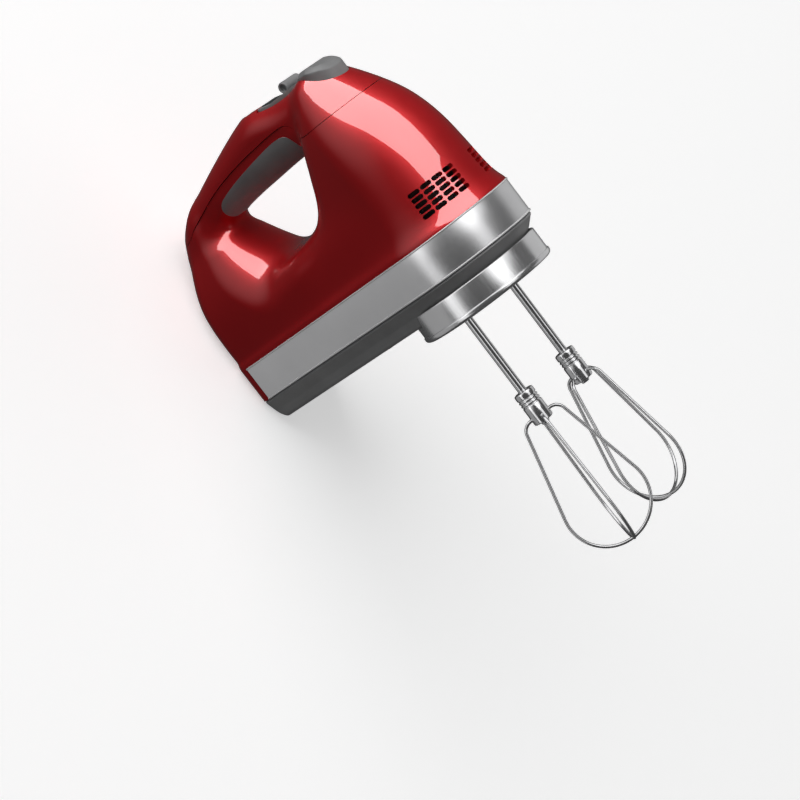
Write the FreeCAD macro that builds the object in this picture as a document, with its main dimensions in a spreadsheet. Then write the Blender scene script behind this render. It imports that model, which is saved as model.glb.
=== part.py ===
"""Hand mixer: a parametric assembly of separate pieces, in millimetres.

Pieces are drawn in the working attitude: x forward from the heel, y to the left,
z up from the bottom of the base. The whole mixer is then stood on its heel, so
the beaters point along +X and the nose points up.
"""

import FreeCAD, Part
import Sketcher
import math
import os
from FreeCAD import Placement, Rotation, Vector

os.makedirs("parts", exist_ok=True)
doc = FreeCAD.newDocument("hand_mixer")

# ---------------------------------------------------------------- dimensions

SIZES = {
    "nothing": 0,
    # Housing
    "wall": 2.5,
    "grip_wall": 3.6,
    "handle_roof": 7,
    "base_height": 14.5,
    "base_step": 6.4,
    "band_top": 36.1,
    "band_thickness": 1.2,
    "band_rear": 5,
    "nose_centre": 160,
    "nose_radius": 43,
    "heel_half_width": 32.5,
    "heel_chamfer_length": 8.3,
    "heel_chamfer_height": 9.6,
    "grip_thickness": 1.6,
    # Beater plate
    "plate_centre": 157,
    "plate_radius": 41.5,
    "plate_inner_radius": 39.5,
    "plate_bottom": -10,
    "plate_thickness": 2,
    "plate_rounding": 1.8,
    "plate_hole_radius": 6.2,
    "plate_boss_radius": 9,
    # Vents
    "vent_first": 44.9,
    "vent_pitch": 3.3,
    "vent_slot": 2.2,
    "vent_start_angle": 17,
    "vent_sweep_angle": 42,
    "grille_outer_radius": 29.9,
    "grille_inner_radius": 28.6,
    "grille_rib": 0.5,
    # Screws
    "screw_radius": 1.45,
    "screw_hole_radius": 1.5,
    "screw_head_radius": 2.9,
    "screw_head_height": 2,
    "screw_length": 24,
    "boss_radius": 4,
    # Drive line
    "motor_axis_height": 31,
    "shaft_radius": 3,
    "shaft_rear": 33,
    "shaft_length": 142,
    "can_radius": 25,
    "can_inner_radius": 23.6,
    "can_rear": 36,
    "can_length": 82,
    "can_end": 2.5,
    "can_end_hole": 7,
    "magnet_inner_radius": 17.6,
    "magnet_outer_radius": 23.5,
    "magnet_rear": 62,
    "magnet_length": 48,
    "magnet_angle": 120,
    "core_radius": 16.6,
    "core_rear": 68,
    "core_length": 36,
    "core_slot_width": 3,
    "core_slot_depth": 6,
    "core_slots": 12,
    "winding_radius": 14.5,
    "winding_length": 7,
    "commutator_radius": 9,
    "commutator_rear": 46,
    "commutator_length": 11,
    "bearing_radius": 7,
    "bearing_bore_radius": 3.04,
    "rear_bearing_length": 6,
    "front_bearing_rear": 114,
    "front_bearing_length": 8,
    "nose_bearing_rear": 170,
    "nose_bearing_length": 6,
    "bracket_thickness": 3,
    "bracket_radius": 24.8,
    "fan_rear": 127,
    "fan_length": 10,
    "fan_radius": 21,
    "fan_hub_radius": 8,
    "fan_blades": 9,
    "fan_blade_thickness": 1.4,
    "brush_size": 5,
    "brush_outer": 17,
    "brush_gap": 0.15,
    "holder_wall": 1.2,
    # Worm drive
    "gear_module": 1.2,
    "wheel_teeth": 24,
    "worm_length": 22,
    "worm_pitch_radius": 9.2,
    "worm_root_radius": 7.8,
    "worm_tip_radius": 10.0,
    "wheel_width": 7,
    "wheel_tip_relief": 0.3,
    "tooth_play": 0.28,
    "spindle_forward": 156,
    "spindle_spacing": 47.2,
    "spindle_radius": 5.5,
    "spindle_bore_radius": 2.56,
    "spindle_bottom": -8.5,
    "spindle_top": 50,
    "bush_bore_radius": 5.55,
    "bush_radius": 8,
    "case_bottom": 2.6,
    "case_plate": 6,
    "case_post_radius": 3.5,
    "cover_bottom": 45,
    "cover_plate": 3,
    # Beaters
    "beater_shaft_radius": 2.5,
    "beater_shaft_top": 38,
    "collar_top": -58.9,
    "collar_bottom": -78.3,
    "collar_radius": 5.4,
    "collar_groove": 0.35,
    "wire_radius": 0.95,
    "loop_exit": -74.5,
    "loop_neck": 11,
    "loop_corner": 6,
    "loop_radius": 24.2,
    "loop_bottom": -157.4,
    # Ejector
    "ejector_rod_radius": 2.5,
    "ejector_rod_forward": 160,
    "fork_bottom": 56.7,
    "fork_thickness": 3,
    "fork_pin_radius": 2.2,
    "fork_pin_bottom": 45.2,
    "button_clearance": 0.35,
    "button_bottom": 134,
    "button_pocket": 127,
    "coil_wire_radius": 0.5,
    # Controls
    "panel_half_width": 10.5,
    "window_half_width": 6.5,
    "board_height": 126,
    "board_thickness": 1.6,
    "switch_roll_radius": 3.2,
    "switch_roll_half": 7.5,
    "switch_forward": 136,
    "switch_roll_height": 145.6,
    "switch_travel": 4,
    "speed_forward": 106,
    "speed_half_length": 4.6,
    "speed_half_width": 6.2,
    "dish_radius": 15.5,
    "dish_height": 160.2,
    # Cord inlet
    "gland_height": 96,
    "gland_bore_radius": 3.8,
    "gland_radius": 5.5,
    "gland_flange_radius": 7.6,
    "gland_rear": 0.5,
    "gland_length": 15,
    # Standing attitude
    "stand_forward": -4.78,
    "stand_left": -2.92,
}

# Each section: height, rear x, rear half-width, corner radius, front centre x, front radius.
TUB_SECTIONS = [
    (14.5, 0, 32.5, 7, 160, 43),
    (36.1, 0, 32.5, 7, 160, 43),
    (38.6, 0, 32.7, 7, 159.8, 42.2),
    (43.5, 0, 32, 7.5, 160, 39.4),
    (54, 0, 32.5, 8.5, 158.9, 35.6),
    (64, 0, 30.5, 9.5, 158.7, 34.4),
    (71, 0, 26, 10, 157, 30),
    (75.5, 4, 17, 10, 150, 20),
]
REAR_POST_SECTIONS = [
    (58, 0, 32, 9, 49, 31),
    (68, 0, 31, 9.5, 48, 29),
    (76, 0, 30, 10, 43, 27),
    (84, 1, 28, 11, 36, 24),
    (93, 2.5, 24.5, 12, 32, 20.5),
    (104, 5.5, 19.5, 13, 29.5, 17.5),
    (113, 11, 17, 12, 28.5, 16.5),
    (120.5, 16.5, 14.5, 11, 30, 13.8),
]
COLUMN_SECTIONS = [
    (58, 104, 31, 8, 158.8, 34.9),
    (76, 113, 29, 8, 158.4, 34.2),
    (88, 117.5, 27, 8, 157.5, 33),
    (105, 123.5, 24, 8, 155.4, 30.5),
    (118, 125, 21, 8, 153.6, 27),
    (128, 124, 18.5, 8, 151.5, 22.8),
    (136, 121, 17, 8, 149.2, 18.5),
    (142.5, 117, 15, 7, 147, 14.5),
]
# Each handle section: x, half-width, underside height, top height, corner radius.
HANDLE_SECTIONS = [
    (15, 13, 102, 119.5, 7),
    (29, 16.5, 104, 127.5, 10),
    (46, 17.5, 107, 133.5, 12),
    (62, 17.5, 108.5, 138.6, 13),
    (90, 17.5, 109.5, 146.2, 14),
    (103, 17.5, 110, 148.4, 14),
    (113, 17.5, 110, 146.2, 14),
    (125, 17.5, 110, 143.4, 14),
    (150, 17, 114, 142.2, 12),
]
# The finger opening's outline in side view.
FINGER_HOLE = [
    (44, 103), (55, 109.5), (90, 109.5), (118, 111.5), (127.4, 107.5), (122.8, 95),
    (115.5, 80), (106, 74.8), (88, 74.4), (72, 75.3), (60, 80), (49, 92),
]
# The joint line of the upper cover, from the heel over the grip to the nose.
COVER_LINE = [
    (-10, 110), (20, 111.5), (31, 117.6), (68, 127.9), (125, 131), (133, 127.5),
    (134, 117.5), (215, 117.5),
]
GRIP_LINE = [
    (50.5, 104), (50.8, 117), (70, 121.6), (95, 124.6), (118, 126.4), (126, 123.5),
    (126.4, 114), (122, 104),
]
# The ejector button's plan, with the same form as the housing's sections, and its top line.
BUTTON_SECTIONS = [
    (134, 148.5, 10.2, 4, 162.8, 11.4),
    (147, 148.5, 10.2, 4, 162.8, 11.4),
]
BUTTON_TOP = [
    (140, 120), (140, 144.8), (150, 146.2), (160, 146.2), (169, 143.8), (176, 139.8), (176, 120),
]
# The control strip and the window on it, in side view.
PANEL_LINE = [(113, 140.8), (113, 145.6), (122.5, 143.4), (147.6, 142.8), (147.6, 140.8)]
WINDOW_LINE = [(115.5, 145.02), (115.5, 145.7), (122, 144.2), (122, 143.52)]
SCREW_PLACES = [(16, 21), (16, -21), (108, 30.5), (108, -30.5)]
CASE_POSTS = [(130, 28), (130, -28), (186, 0)]


def fill_sheet():
    """Write every driving dimension to the sheet, with its name as alias."""
    sheet = doc.addObject("Spreadsheet::Sheet", "Dimensions")
    for row, (name, size) in enumerate(SIZES.items(), start=1):
        sheet.set(f"A{row}", name)
        sheet.set(f"B{row}", str(size))
        sheet.setAlias(f"B{row}", name)
    doc.recompute()
    return sheet


sheet = fill_sheet()


def size(name):
    """The sheet's value for one named dimension."""
    return float(getattr(sheet, name))


def total(terms):
    """The value of a sum of named dimensions, such as 'collar_top - collar_groove'."""
    value, sign = 0.0, 1
    for term in terms.split():
        if term in "+-":
            sign = 1 if term == "+" else -1
        else:
            value += sign * size(term)
    return value


def formula(terms):
    """The same sum, as an expression on the sheet."""
    return " ".join(term if term in "+-" else "Dimensions." + term for term in terms.split())


WALL = size("wall")
AXIS_HEIGHT = size("motor_axis_height")
SPINDLE_X = size("spindle_forward")
SPINDLE_Y = size("spindle_spacing") / 2
TOOTH_PITCH = math.pi * size("gear_module")

ALONG_X = Rotation(Vector(0, 1, 0), 90)
STAND = Placement(
    Vector(size("stand_forward"), size("stand_left"), 0), Rotation(Vector(0, 1, 0), -90)
)

# ---------------------------------------------------------------- making pieces


def put(piece, position=(0, 0, 0), rotation=None):
    """Place a piece in the mixer, and stand it up with the rest."""
    piece.Placement = STAND.multiply(Placement(Vector(*position), rotation or Rotation()))
    return piece


def fixed(label, shape, position=(0, 0, 0), rotation=None):
    """A sub-part from a finished shape."""
    piece = doc.addObject("Part::Feature", label)
    piece.Label = label
    own = shape.Placement
    piece.Shape = shape
    put(piece, position, rotation)
    piece.Placement = piece.Placement.multiply(own)
    return piece


def new_body(label):
    """An empty body and a lookup of its own origin planes."""
    body = doc.addObject("PartDesign::Body", label)
    body.Label = label
    planes = {feature.Role: feature for feature in body.Origin.OriginFeatures}
    return body, planes


def new_sketch(body, planes, plane, name):
    """A sketch on one of the body's origin planes."""
    sketch = body.newObject("Sketcher::SketchObject", name)
    sketch.AttachmentSupport = (planes[plane], [""])
    sketch.MapMode = "FlatFace"
    return sketch


def draw_circle(sketch, radius, name):
    """A circle on the sketch's origin, its radius bound to the sheet."""
    edge = sketch.addGeometry(Part.Circle(Vector(), Vector(0, 0, 1), total(radius)))
    sketch.addConstraint(Sketcher.Constraint("Coincident", edge, 3, -1, 1))
    rule = sketch.addConstraint(Sketcher.Constraint("Radius", edge, total(radius)))
    sketch.renameConstraint(rule, name)
    sketch.setExpression("Constraints." + name, formula(radius))


def draw_polygon(sketch, corners):
    """A closed outline whose corners are sums of named dimensions."""
    points = [Vector(total(across), total(along)) for across, along in corners]
    count = len(points)
    for index in range(count):
        sketch.addGeometry(Part.LineSegment(points[index], points[(index + 1) % count]))
    for index in range(count):
        following = (index + 1) % count
        sketch.addConstraint(Sketcher.Constraint("Coincident", index, 2, following, 1))
    for index, corner in enumerate(corners):
        for kind, terms, value, axis in (
            ("DistanceX", corner[0], points[index].x, -2),
            ("DistanceY", corner[1], points[index].y, -1),
        ):
            if terms == "nothing":
                sketch.addConstraint(Sketcher.Constraint("PointOnObject", index, 1, axis))
                continue
            rule = sketch.addConstraint(Sketcher.Constraint(kind, -1, 1, index, 1, value))
            name = f"{kind}_{index}"
            sketch.renameConstraint(rule, name)
            sketch.setExpression("Constraints." + name, formula(terms))


def turned(label, corners, position, rotation=None):
    """A turned piece: an outline of (radius, height) corners, revolved."""
    body, planes = new_body(label)
    sketch = new_sketch(body, planes, "XZ_Plane", label + "_outline")
    draw_polygon(sketch, corners)
    turn = body.newObject("PartDesign::Revolution", label + "_turn")
    turn.Profile = sketch
    turn.ReferenceAxis = (sketch, ["V_Axis"])
    turn.Angle = 360
    body.Tip = turn
    return put(body, position, rotation)


def tube(label, outer, inner, length, position, rotation=None):
    """A round bar with a bore, padded from a sketch of two circles."""
    body, planes = new_body(label)
    sketch = new_sketch(body, planes, "XY_Plane", label + "_rings")
    draw_circle(sketch, outer, "outer")
    if inner:
        draw_circle(sketch, inner, "inner")
    pad = body.newObject("PartDesign::Pad", label + "_pad")
    pad.Profile = sketch
    pad.setExpression("Length", formula(length))
    body.Tip = pad
    return put(body, position, rotation)


def box(low, high):
    """A box between two corners."""
    return Part.makeBox(*(b - a for a, b in zip(low, high)), Vector(*low))


def rod(radius, low, high, at, along="z"):
    """A round bar from low to high, parallel to an axis, through the point at."""
    if along == "x":
        return Part.makeCylinder(radius, high - low, Vector(low, *at), Vector(1, 0, 0))
    if along == "y":
        return Part.makeCylinder(
            radius, high - low, Vector(at[0], low, at[1]), Vector(0, 1, 0)
        )
    return Part.makeCylinder(radius, high - low, Vector(*at, low), Vector(0, 0, 1))


def smooth_outline(points, grow):
    """A closed spline through the points, moved outwards by grow."""
    curve = Part.BSplineCurve()
    curve.interpolate(points, PeriodicFlag=True)
    if grow:
        moved = []
        for point in points:
            along = curve.tangent(curve.parameter(point))[0]
            moved.append(point + along.cross(Vector(0, 1, 0)) * grow)
        curve = Part.BSplineCurve()
        curve.interpolate(moved, PeriodicFlag=True)
    return Part.Wire(curve.toShape())


def side_prism(outline, half_width, smooth=False, grow=0.0):
    """A prism across the mixer, from an outline of (x, z) points."""
    points = [Vector(x, -half_width, z) for x, z in outline]
    if smooth:
        wire = smooth_outline(points, grow)
    else:
        wire = Part.makePolygon(points + points[:1])
    return Part.Face(wire).extrude(Vector(0, 2 * half_width, 0))


def tangent_points(centre_a, radius_a, centre_b, radius_b, side):
    """Where the outer tangent of two circles touches each of them."""
    gap = centre_b.sub(centre_a)
    heading = math.atan2(gap.y, gap.x)
    lean = math.asin((radius_b - radius_a) / gap.Length)
    normal = heading + side * (math.pi / 2 + lean)
    direction = Vector(math.cos(normal), math.sin(normal), 0)
    return centre_a + direction * radius_a, centre_b + direction * radius_b


def plan_wire(section, inset=0.0):
    """A closed plan outline: flat heel, rounded corners, straight sides, round front."""
    height, rear, half_width, corner, centre, radius = section
    rear, half_width = rear + inset, half_width - inset
    corner, radius = max(corner - inset, 0.8), radius - inset
    left = Vector(rear + corner, half_width - corner, height)
    right = Vector(left.x, -left.y, height)
    front = Vector(centre, 0, height)
    corner_left, front_left = tangent_points(left, corner, front, radius, 1)
    corner_right, front_right = tangent_points(right, corner, front, radius, -1)

    def arc(start, middle_of, radius_here, end):
        chord = (start + end) * 0.5 - middle_of
        chord.z = 0
        return Part.Arc(start, middle_of + chord.normalize() * radius_here, end).toShape()

    heel_left = Vector(rear, left.y, height)
    heel_right = Vector(rear, right.y, height)
    nose = Vector(centre + radius, 0, height)
    return Part.Wire([
        Part.LineSegment(heel_right, heel_left).toShape(),
        arc(heel_left, left, corner, corner_left),
        Part.LineSegment(corner_left, front_left).toShape(),
        Part.Arc(front_left, nose, front_right).toShape(),
        Part.LineSegment(front_right, corner_right).toShape(),
        arc(corner_right, right, corner, heel_right),
    ])


def plan_loft(sections, inset=0.0, lower=0.0, upper=0.0, ruled=False):
    """A solid through plan outlines. lower and upper shift its two ends."""
    shifted = [list(section) for section in sections]
    shifted[0][0] += lower
    shifted[-1][0] += upper
    return Part.makeLoft([plan_wire(section, inset) for section in shifted], True, ruled)


def handle_wire(section, inset, roof):
    """A rounded rectangle across the handle."""
    forward, half_width, under, top, corner = section
    half_width -= inset
    under += inset
    top -= roof
    corner = max(corner - inset, 3)
    flat = half_width - corner
    turn = corner * (1 - math.sqrt(0.5))
    edges = []
    points = [
        (flat, under), (half_width - turn, under + turn), (half_width, under + corner),
        (half_width, top - corner), (half_width - turn, top - turn), (flat, top),
    ]
    right = [Vector(forward, across, up) for across, up in points]
    left = [Vector(forward, -across, up) for across, up in reversed(points)]
    for ring in (right, left):
        edges.append(Part.Arc(ring[0], ring[1], ring[2]).toShape())
        edges.append(Part.LineSegment(ring[2], ring[3]).toShape())
        edges.append(Part.Arc(ring[3], ring[4], ring[5]).toShape())
        nearest = left[0] if ring is right else right[0]
        edges.append(Part.LineSegment(ring[5], nearest).toShape())
    return Part.Wire(edges)


def handle_loft(inset=0.0, roof=0.0):
    """The handle's solid, or its hollow when inset."""
    wires = [handle_wire(section, inset, roof) for section in HANDLE_SECTIONS]
    return Part.makeLoft(wires, True, False)


def sector(inner, outer, low, high, start, sweep):
    """Part of a ring about the nose's axis, between two angles in degrees."""
    centre = Vector(size("nose_centre"), 0, low)
    up = Vector(0, 0, 1)
    shape = Part.makeCylinder(outer, high - low, centre, up, sweep)
    shape = shape.cut(Part.makeCylinder(inner, high - low, centre, up))
    shape.rotate(centre, up, start)
    return shape


def mirrored(shape):
    """The same shape on the other side of the mixer."""
    return shape.mirror(Vector(), Vector(0, 1, 0))


# ---------------------------------------------------------------- housing


def housing_solid():
    """The red housing's outside as one solid, with the finger opening."""
    whole = plan_loft(TUB_SECTIONS[:3], ruled=True).fuse([
        plan_loft(TUB_SECTIONS[2:]), plan_loft(REAR_POST_SECTIONS),
        plan_loft(COLUMN_SECTIONS), handle_loft(),
    ])
    whole = whole.common(box((0, -60, 0), (220, 60, 160)))
    return whole.cut(side_prism(FINGER_HOLE, 60, smooth=True))


def housing_hollow():
    """The room inside the red housing."""
    thick = WALL
    low_inset = thick + size("band_thickness") - 0.2
    tub = plan_loft(TUB_SECTIONS[:3], low_inset, -1, 0, ruled=True)
    posts = [
        plan_loft(TUB_SECTIONS[2:], low_inset, 0, -thick),
        plan_loft(REAR_POST_SECTIONS, thick, 0, -size("handle_roof")),
        plan_loft(COLUMN_SECTIONS, thick, 0, -thick),
        handle_loft(size("grip_wall"), size("handle_roof")),
    ]
    hollow = tub.fuse(posts)
    return hollow.cut(side_prism(FINGER_HOLE, 60, smooth=True, grow=thick))


def band_solid():
    """The trim band: a thin strip round the sides and nose."""
    low, high = size("base_height"), size("band_top")
    outline = (low, 0, size("heel_half_width"), 7, size("nose_centre"), size("nose_radius"))
    upper = (high,) + outline[1:]
    outer = Part.makeLoft([plan_wire(outline), plan_wire(upper)], True, True)
    inset = size("band_thickness")
    inner = Part.makeLoft([plan_wire(outline, inset), plan_wire(upper, inset)], True, True)
    return outer.cut(inner).cut(box((-1, -60, 0), (size("band_rear"), 60, 60)))


def vent_slots():
    """All slots of both front vents."""
    slots = []
    for row in range(5):
        low = size("vent_first") + row * size("vent_pitch")
        slot = sector(
            26, 50, low, low + size("vent_slot"),
            size("vent_start_angle"), size("vent_sweep_angle"),
        )
        slots += [slot, mirrored(slot)]
    return slots


def build_housing():
    """The lower housing, upper cover, grip and trim band, cut from one hollow solid."""
    outside = housing_solid()
    shell = outside.cut(housing_hollow())
    for forward, across in SCREW_PLACES:
        boss = rod(size("boss_radius"), size("base_height"), 60, (forward, across))
        web = box((forward - 1, 0, size("base_height")), (forward + 1, 60, 60))
        web = web.cut(box((forward - 2, 0, 0), (forward + 2, abs(across), 70)))
        web = web if across > 0 else mirrored(web)
        shell = shell.fuse(boss.fuse(web).common(outside))
    shell = shell.cut([
        rod(size("screw_hole_radius"), 0, size("screw_length") + 2, place)
        for place in SCREW_PLACES
    ])
    band = band_solid()
    shell = shell.cut(band)
    shell = shell.cut(vent_slots())
    shell = shell.cut(rod(size("gland_radius"), -2, 20, (0, size("gland_height")), "x"))

    pocket = plan_loft(
        BUTTON_SECTIONS, -size("button_clearance"), size("button_pocket") - size("button_bottom"), 10
    )
    panel = side_prism(PANEL_LINE, size("panel_half_width"))
    dish = Part.makeSphere(
        size("dish_radius"), Vector(size("speed_forward") + 1, 0, size("dish_height"))
    )
    glass = side_prism(
        [(115.4, 144.9), (115.4, 160), (122.1, 160), (122.1, 143.4)], size("window_half_width") + 0.1
    )
    flange = rod(
        size("gland_flange_radius") + 0.2, size("gland_rear") + 5.8, size("gland_rear") + 8.2,
        (0, size("gland_height")), "x",
    )
    shell = shell.cut([
        pocket, panel, dish, oval(0.3, 130, 160), glass, flange, switch_room(),
        box((131.6, -4.4, 130), (143.2, 4.4, 150)),
    ])

    grip = side_prism(GRIP_LINE, 30)
    grip_core = handle_loft(size("grip_thickness"), 0)
    grip_piece = largest(outside.common(grip).cut(grip_core))

    cover_zone = side_prism(COVER_LINE + [(215, 165), (-10, 165)], 60)
    cover = shell.common(cover_zone)
    lower = shell.cut(cover_zone).cut(grip_piece)
    fixed("body_shell", largest(lower))
    fixed("handle_cover", largest(cover))
    fixed("grip_insert", largest(grip_piece))
    fixed("trim_band", largest(band))


def largest(shape):
    """The biggest solid of a shape, without crumbs from the cuts."""
    return max(shape.Solids, key=lambda solid: solid.Volume)


def base_outlines():
    """The base's plan outlines, from its bottom to its joint with the housing."""
    return [
        (0, 0, 28.5, 6, size("plate_centre"), 36.5),
        (size("base_step"), 0, 29.5, 6.5, size("plate_centre"), 37.5),
        (
            size("base_height"), 0, size("heel_half_width"), 7,
            size("nose_centre"), size("nose_radius"),
        ),
    ]


def base_outside():
    """The base's outer form, before its heel is chamfered."""
    return Part.makeLoft([plan_wire(outline) for outline in base_outlines()], True, True)


def build_base():
    """The dark tray under the housing, with its screw pillars."""
    outer = base_outside()
    raised = base_outlines()
    raised[0] = (WALL,) + raised[0][1:]
    inner = Part.makeLoft([plan_wire(outline, WALL) for outline in raised], True, True)
    length, height = size("heel_chamfer_length"), size("heel_chamfer_height")
    wedge = side_prism([(-1, -1), (length, -1), (length, 0), (0, height), (-1, height)], 60)
    room = 4
    inner_wedge = side_prism(
        [(-1, -1), (length + room, -1), (length + room, 0), (0, height + room), (-1, height + room)],
        60,
    )
    outer = outer.cut(wedge)
    tray = outer.cut(inner.cut(inner_wedge))
    pillars = [rod(size("boss_radius"), 0, size("base_height"), at) for at in SCREW_PLACES]
    tray = tray.fuse([pillar.common(outer) for pillar in pillars])
    for place in SCREW_PLACES:
        tray = tray.cut(rod(size("screw_hole_radius") + 0.1, -1, 20, place))
        tray = tray.cut(rod(size("screw_head_radius") + 0.2, -1, size("screw_head_height"), place))
    for side in (1, -1):
        tray = tray.cut(rod(size("plate_boss_radius"), -1, WALL + 1, (SPINDLE_X, side * SPINDLE_Y)))
    fixed("base_cover", largest(tray))
    for index, (forward, across) in enumerate(SCREW_PLACES, start=1):
        turned(
            f"base_screw_{index}",
            [
                ("nothing", "nothing"), ("screw_head_radius", "nothing"),
                ("screw_head_radius", "screw_head_height"),
                ("screw_radius", "screw_head_height"), ("screw_radius", "screw_length"),
                ("nothing", "screw_length"),
            ],
            (forward, across, 0),
        )


def build_beater_plate():
    """The round metal plate under the nose, with a boss round each spindle."""
    bottom, centre = size("plate_bottom"), (size("plate_centre"), 0)
    dish = rod(size("plate_radius"), bottom, size("base_step"), centre)
    rims = [edge for edge in dish.Edges if len(edge.Vertexes) == 1 and edge.Vertexes[0].Z < 0]
    dish = dish.makeFillet(size("plate_rounding"), rims)
    floor = bottom + size("plate_thickness")
    dish = dish.cut(rod(size("plate_inner_radius"), floor, 20, centre))
    dish = dish.cut(base_outside())
    for side in (1, -1):
        place = (SPINDLE_X, side * SPINDLE_Y)
        dish = dish.fuse(rod(size("plate_boss_radius"), bottom + 1, 0, place))
        dish = dish.cut(rod(size("plate_hole_radius"), bottom - 1, 10, place))
    fixed("beater_plate", largest(dish))


def build_vent_grilles():
    """A black louvre behind each vent: a curved plate with upright ribs."""
    low = size("vent_first") - 2
    high = size("vent_first") + 4 * size("vent_pitch") + size("vent_slot") + 0.8
    start, sweep = size("vent_start_angle") - 2, size("vent_sweep_angle") + 4
    inner, outer = size("grille_inner_radius"), size("grille_outer_radius")
    plate = sector(inner, outer, low, high, start, sweep)
    for rib in range(4):
        angle = start + 4 + rib * (sweep - 9.5) / 3
        plate = plate.fuse(sector(inner, outer + size("grille_rib"), low + 1, high - 1, angle, 2))
    fixed("vent_grille_left", largest(plate))
    fixed("vent_grille_right", largest(mirrored(plate)))


def build_cord_gland():
    """The rubber bush where the cord enters the rear post."""
    turned(
        "cord_gland",
        [
            ("gland_bore_radius", "nothing"), ("gland_radius", "nothing"),
            ("gland_radius", "nose_bearing_length"),
            ("gland_flange_radius", "nose_bearing_length"),
            ("gland_flange_radius", "front_bearing_length"),
            ("gland_radius", "front_bearing_length"),
            ("gland_radius", "gland_length"), ("gland_bore_radius", "gland_length"),
        ],
        (size("gland_rear"), 0, size("gland_height")),
        ALONG_X,
    )


# ---------------------------------------------------------------- controls

def switch_room():
    """The hollow that the power switch's roll slides in, over its whole travel."""
    forward, height = size("switch_forward"), size("switch_roll_height")
    radius = size("switch_roll_radius") + 0.3
    half = size("switch_roll_half") + 0.4
    end = forward + size("switch_travel")
    rolls = [rod(radius, -half, half, (at, height), "y") for at in (forward, end)]
    return rolls[0].fuse([rolls[1], box((forward, -half, height - radius), (end, half, height + radius))])


def oval(grow, low, high):
    """An upright oval prism at the speed button."""
    centre = Vector(size("speed_forward"), 0, low)
    long_axis = size("speed_half_width") + grow
    short_axis = size("speed_half_length") + grow
    edge = Part.Ellipse(
        centre + Vector(0, long_axis, 0), centre + Vector(short_axis, 0, 0), centre
    ).toShape()
    return Part.Face(Part.Wire(edge)).extrude(Vector(0, 0, high - low))


def coil(label, radius, low, high, turns, position):
    """A compression spring of round wire, upright at a position."""
    wire = size("coil_wire_radius")
    pitch = (high - low - 2 * wire) / turns
    path = Part.makeHelix(pitch, high - low - 2 * wire, radius)
    profile = Part.Wire(
        Part.Circle(Vector(radius, 0, 0), Vector(0, 1, 0), wire).toShape()
    )
    shape = Part.Wire(path.Edges).makePipeShell([profile], True, True)
    shape.translate(Vector(position[0], position[1], low + wire))
    fixed(label, shape)


def build_ejector():
    """The button, its rod and the fork that pushes both beaters out."""
    block = plan_loft(BUTTON_SECTIONS).common(side_prism(BUTTON_TOP, 30))
    fixed("ejector_button", largest(block))
    forward = size("ejector_rod_forward")
    fork_top = size("fork_bottom") + size("fork_thickness")
    shaft = rod(size("ejector_rod_radius"), fork_top, size("button_bottom"), (forward, 0))
    collar = rod(4.5, 131, size("button_bottom"), (forward, 0))
    fixed("ejector_rod", shaft.fuse(collar))
    reach = SPINDLE_Y + 3.5
    fork = box((152.5, -reach, size("fork_bottom")), (159.5, reach, fork_top))
    fork = fork.fuse(box((154, -5, size("fork_bottom")), (164.5, 5, fork_top)))
    for side in (1, -1):
        place = (SPINDLE_X, side * SPINDLE_Y)
        fork = fork.fuse(
            rod(size("fork_pin_radius"), size("fork_pin_bottom"), fork_top, place)
        )
    fixed("ejector_fork", fork.removeSplitter())
    guide = box((150, -7, 110), (170, 7, 112.5))
    guide = guide.cut(rod(size("ejector_rod_radius") + 0.3, 100, 120, (forward, 0)))
    fixed("ejector_guide", guide)
    coil("ejector_spring", 3.6, 112.6, 130.9, 7, (forward, 0))


def build_controls():
    """The control strip, window, board, power switch and speed button."""
    panel = side_prism(PANEL_LINE, size("panel_half_width") - 0.1)
    panel = panel.cut([box((131.6, -4.4, 130), (143.2, 4.4, 150)), switch_room()])
    fixed("control_panel", panel)
    fixed("display_window", side_prism(WINDOW_LINE, size("window_half_width")))

    board_low, thick = size("board_height"), size("board_thickness")
    board = box((72, -11.5, board_low), (146, 11.5, board_low + thick))
    fixed("control_board", board)
    board_top = board_low + thick
    block = box((129, -7.5, board_top), (145.5, 7.5, board_top + 8))
    block = block.cut(box((131.8, -4, board_top + 4), (143, 4, board_top + 9)))
    fixed("switch_block", block)
    forward = size("switch_forward")
    roll = rod(
        size("switch_roll_radius"), -size("switch_roll_half"), size("switch_roll_half"),
        (forward, size("switch_roll_height")), "y",
    )
    stem = box((forward - 1.8, -3.8, board_top + 5), (forward + 1.8, 3.8, 145))
    fixed("power_switch", roll.fuse(stem).removeSplitter())

    button = oval(0, 137.6, 146.4)
    button = button.fuse(oval(1.2, 137.6, 138.8))
    button = button.fuse(rod(2, 129.2, 138, (size("speed_forward"), 0)))
    fixed("speed_button", button)
    coil("speed_button_spring", 3, board_top + 0.1, 137.4, 5, (size("speed_forward"), 0))


# ---------------------------------------------------------------- motor


def on_axis(forward):
    """The place of a piece on the motor's axis."""
    return (forward, 0, AXIS_HEIGHT)


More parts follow.
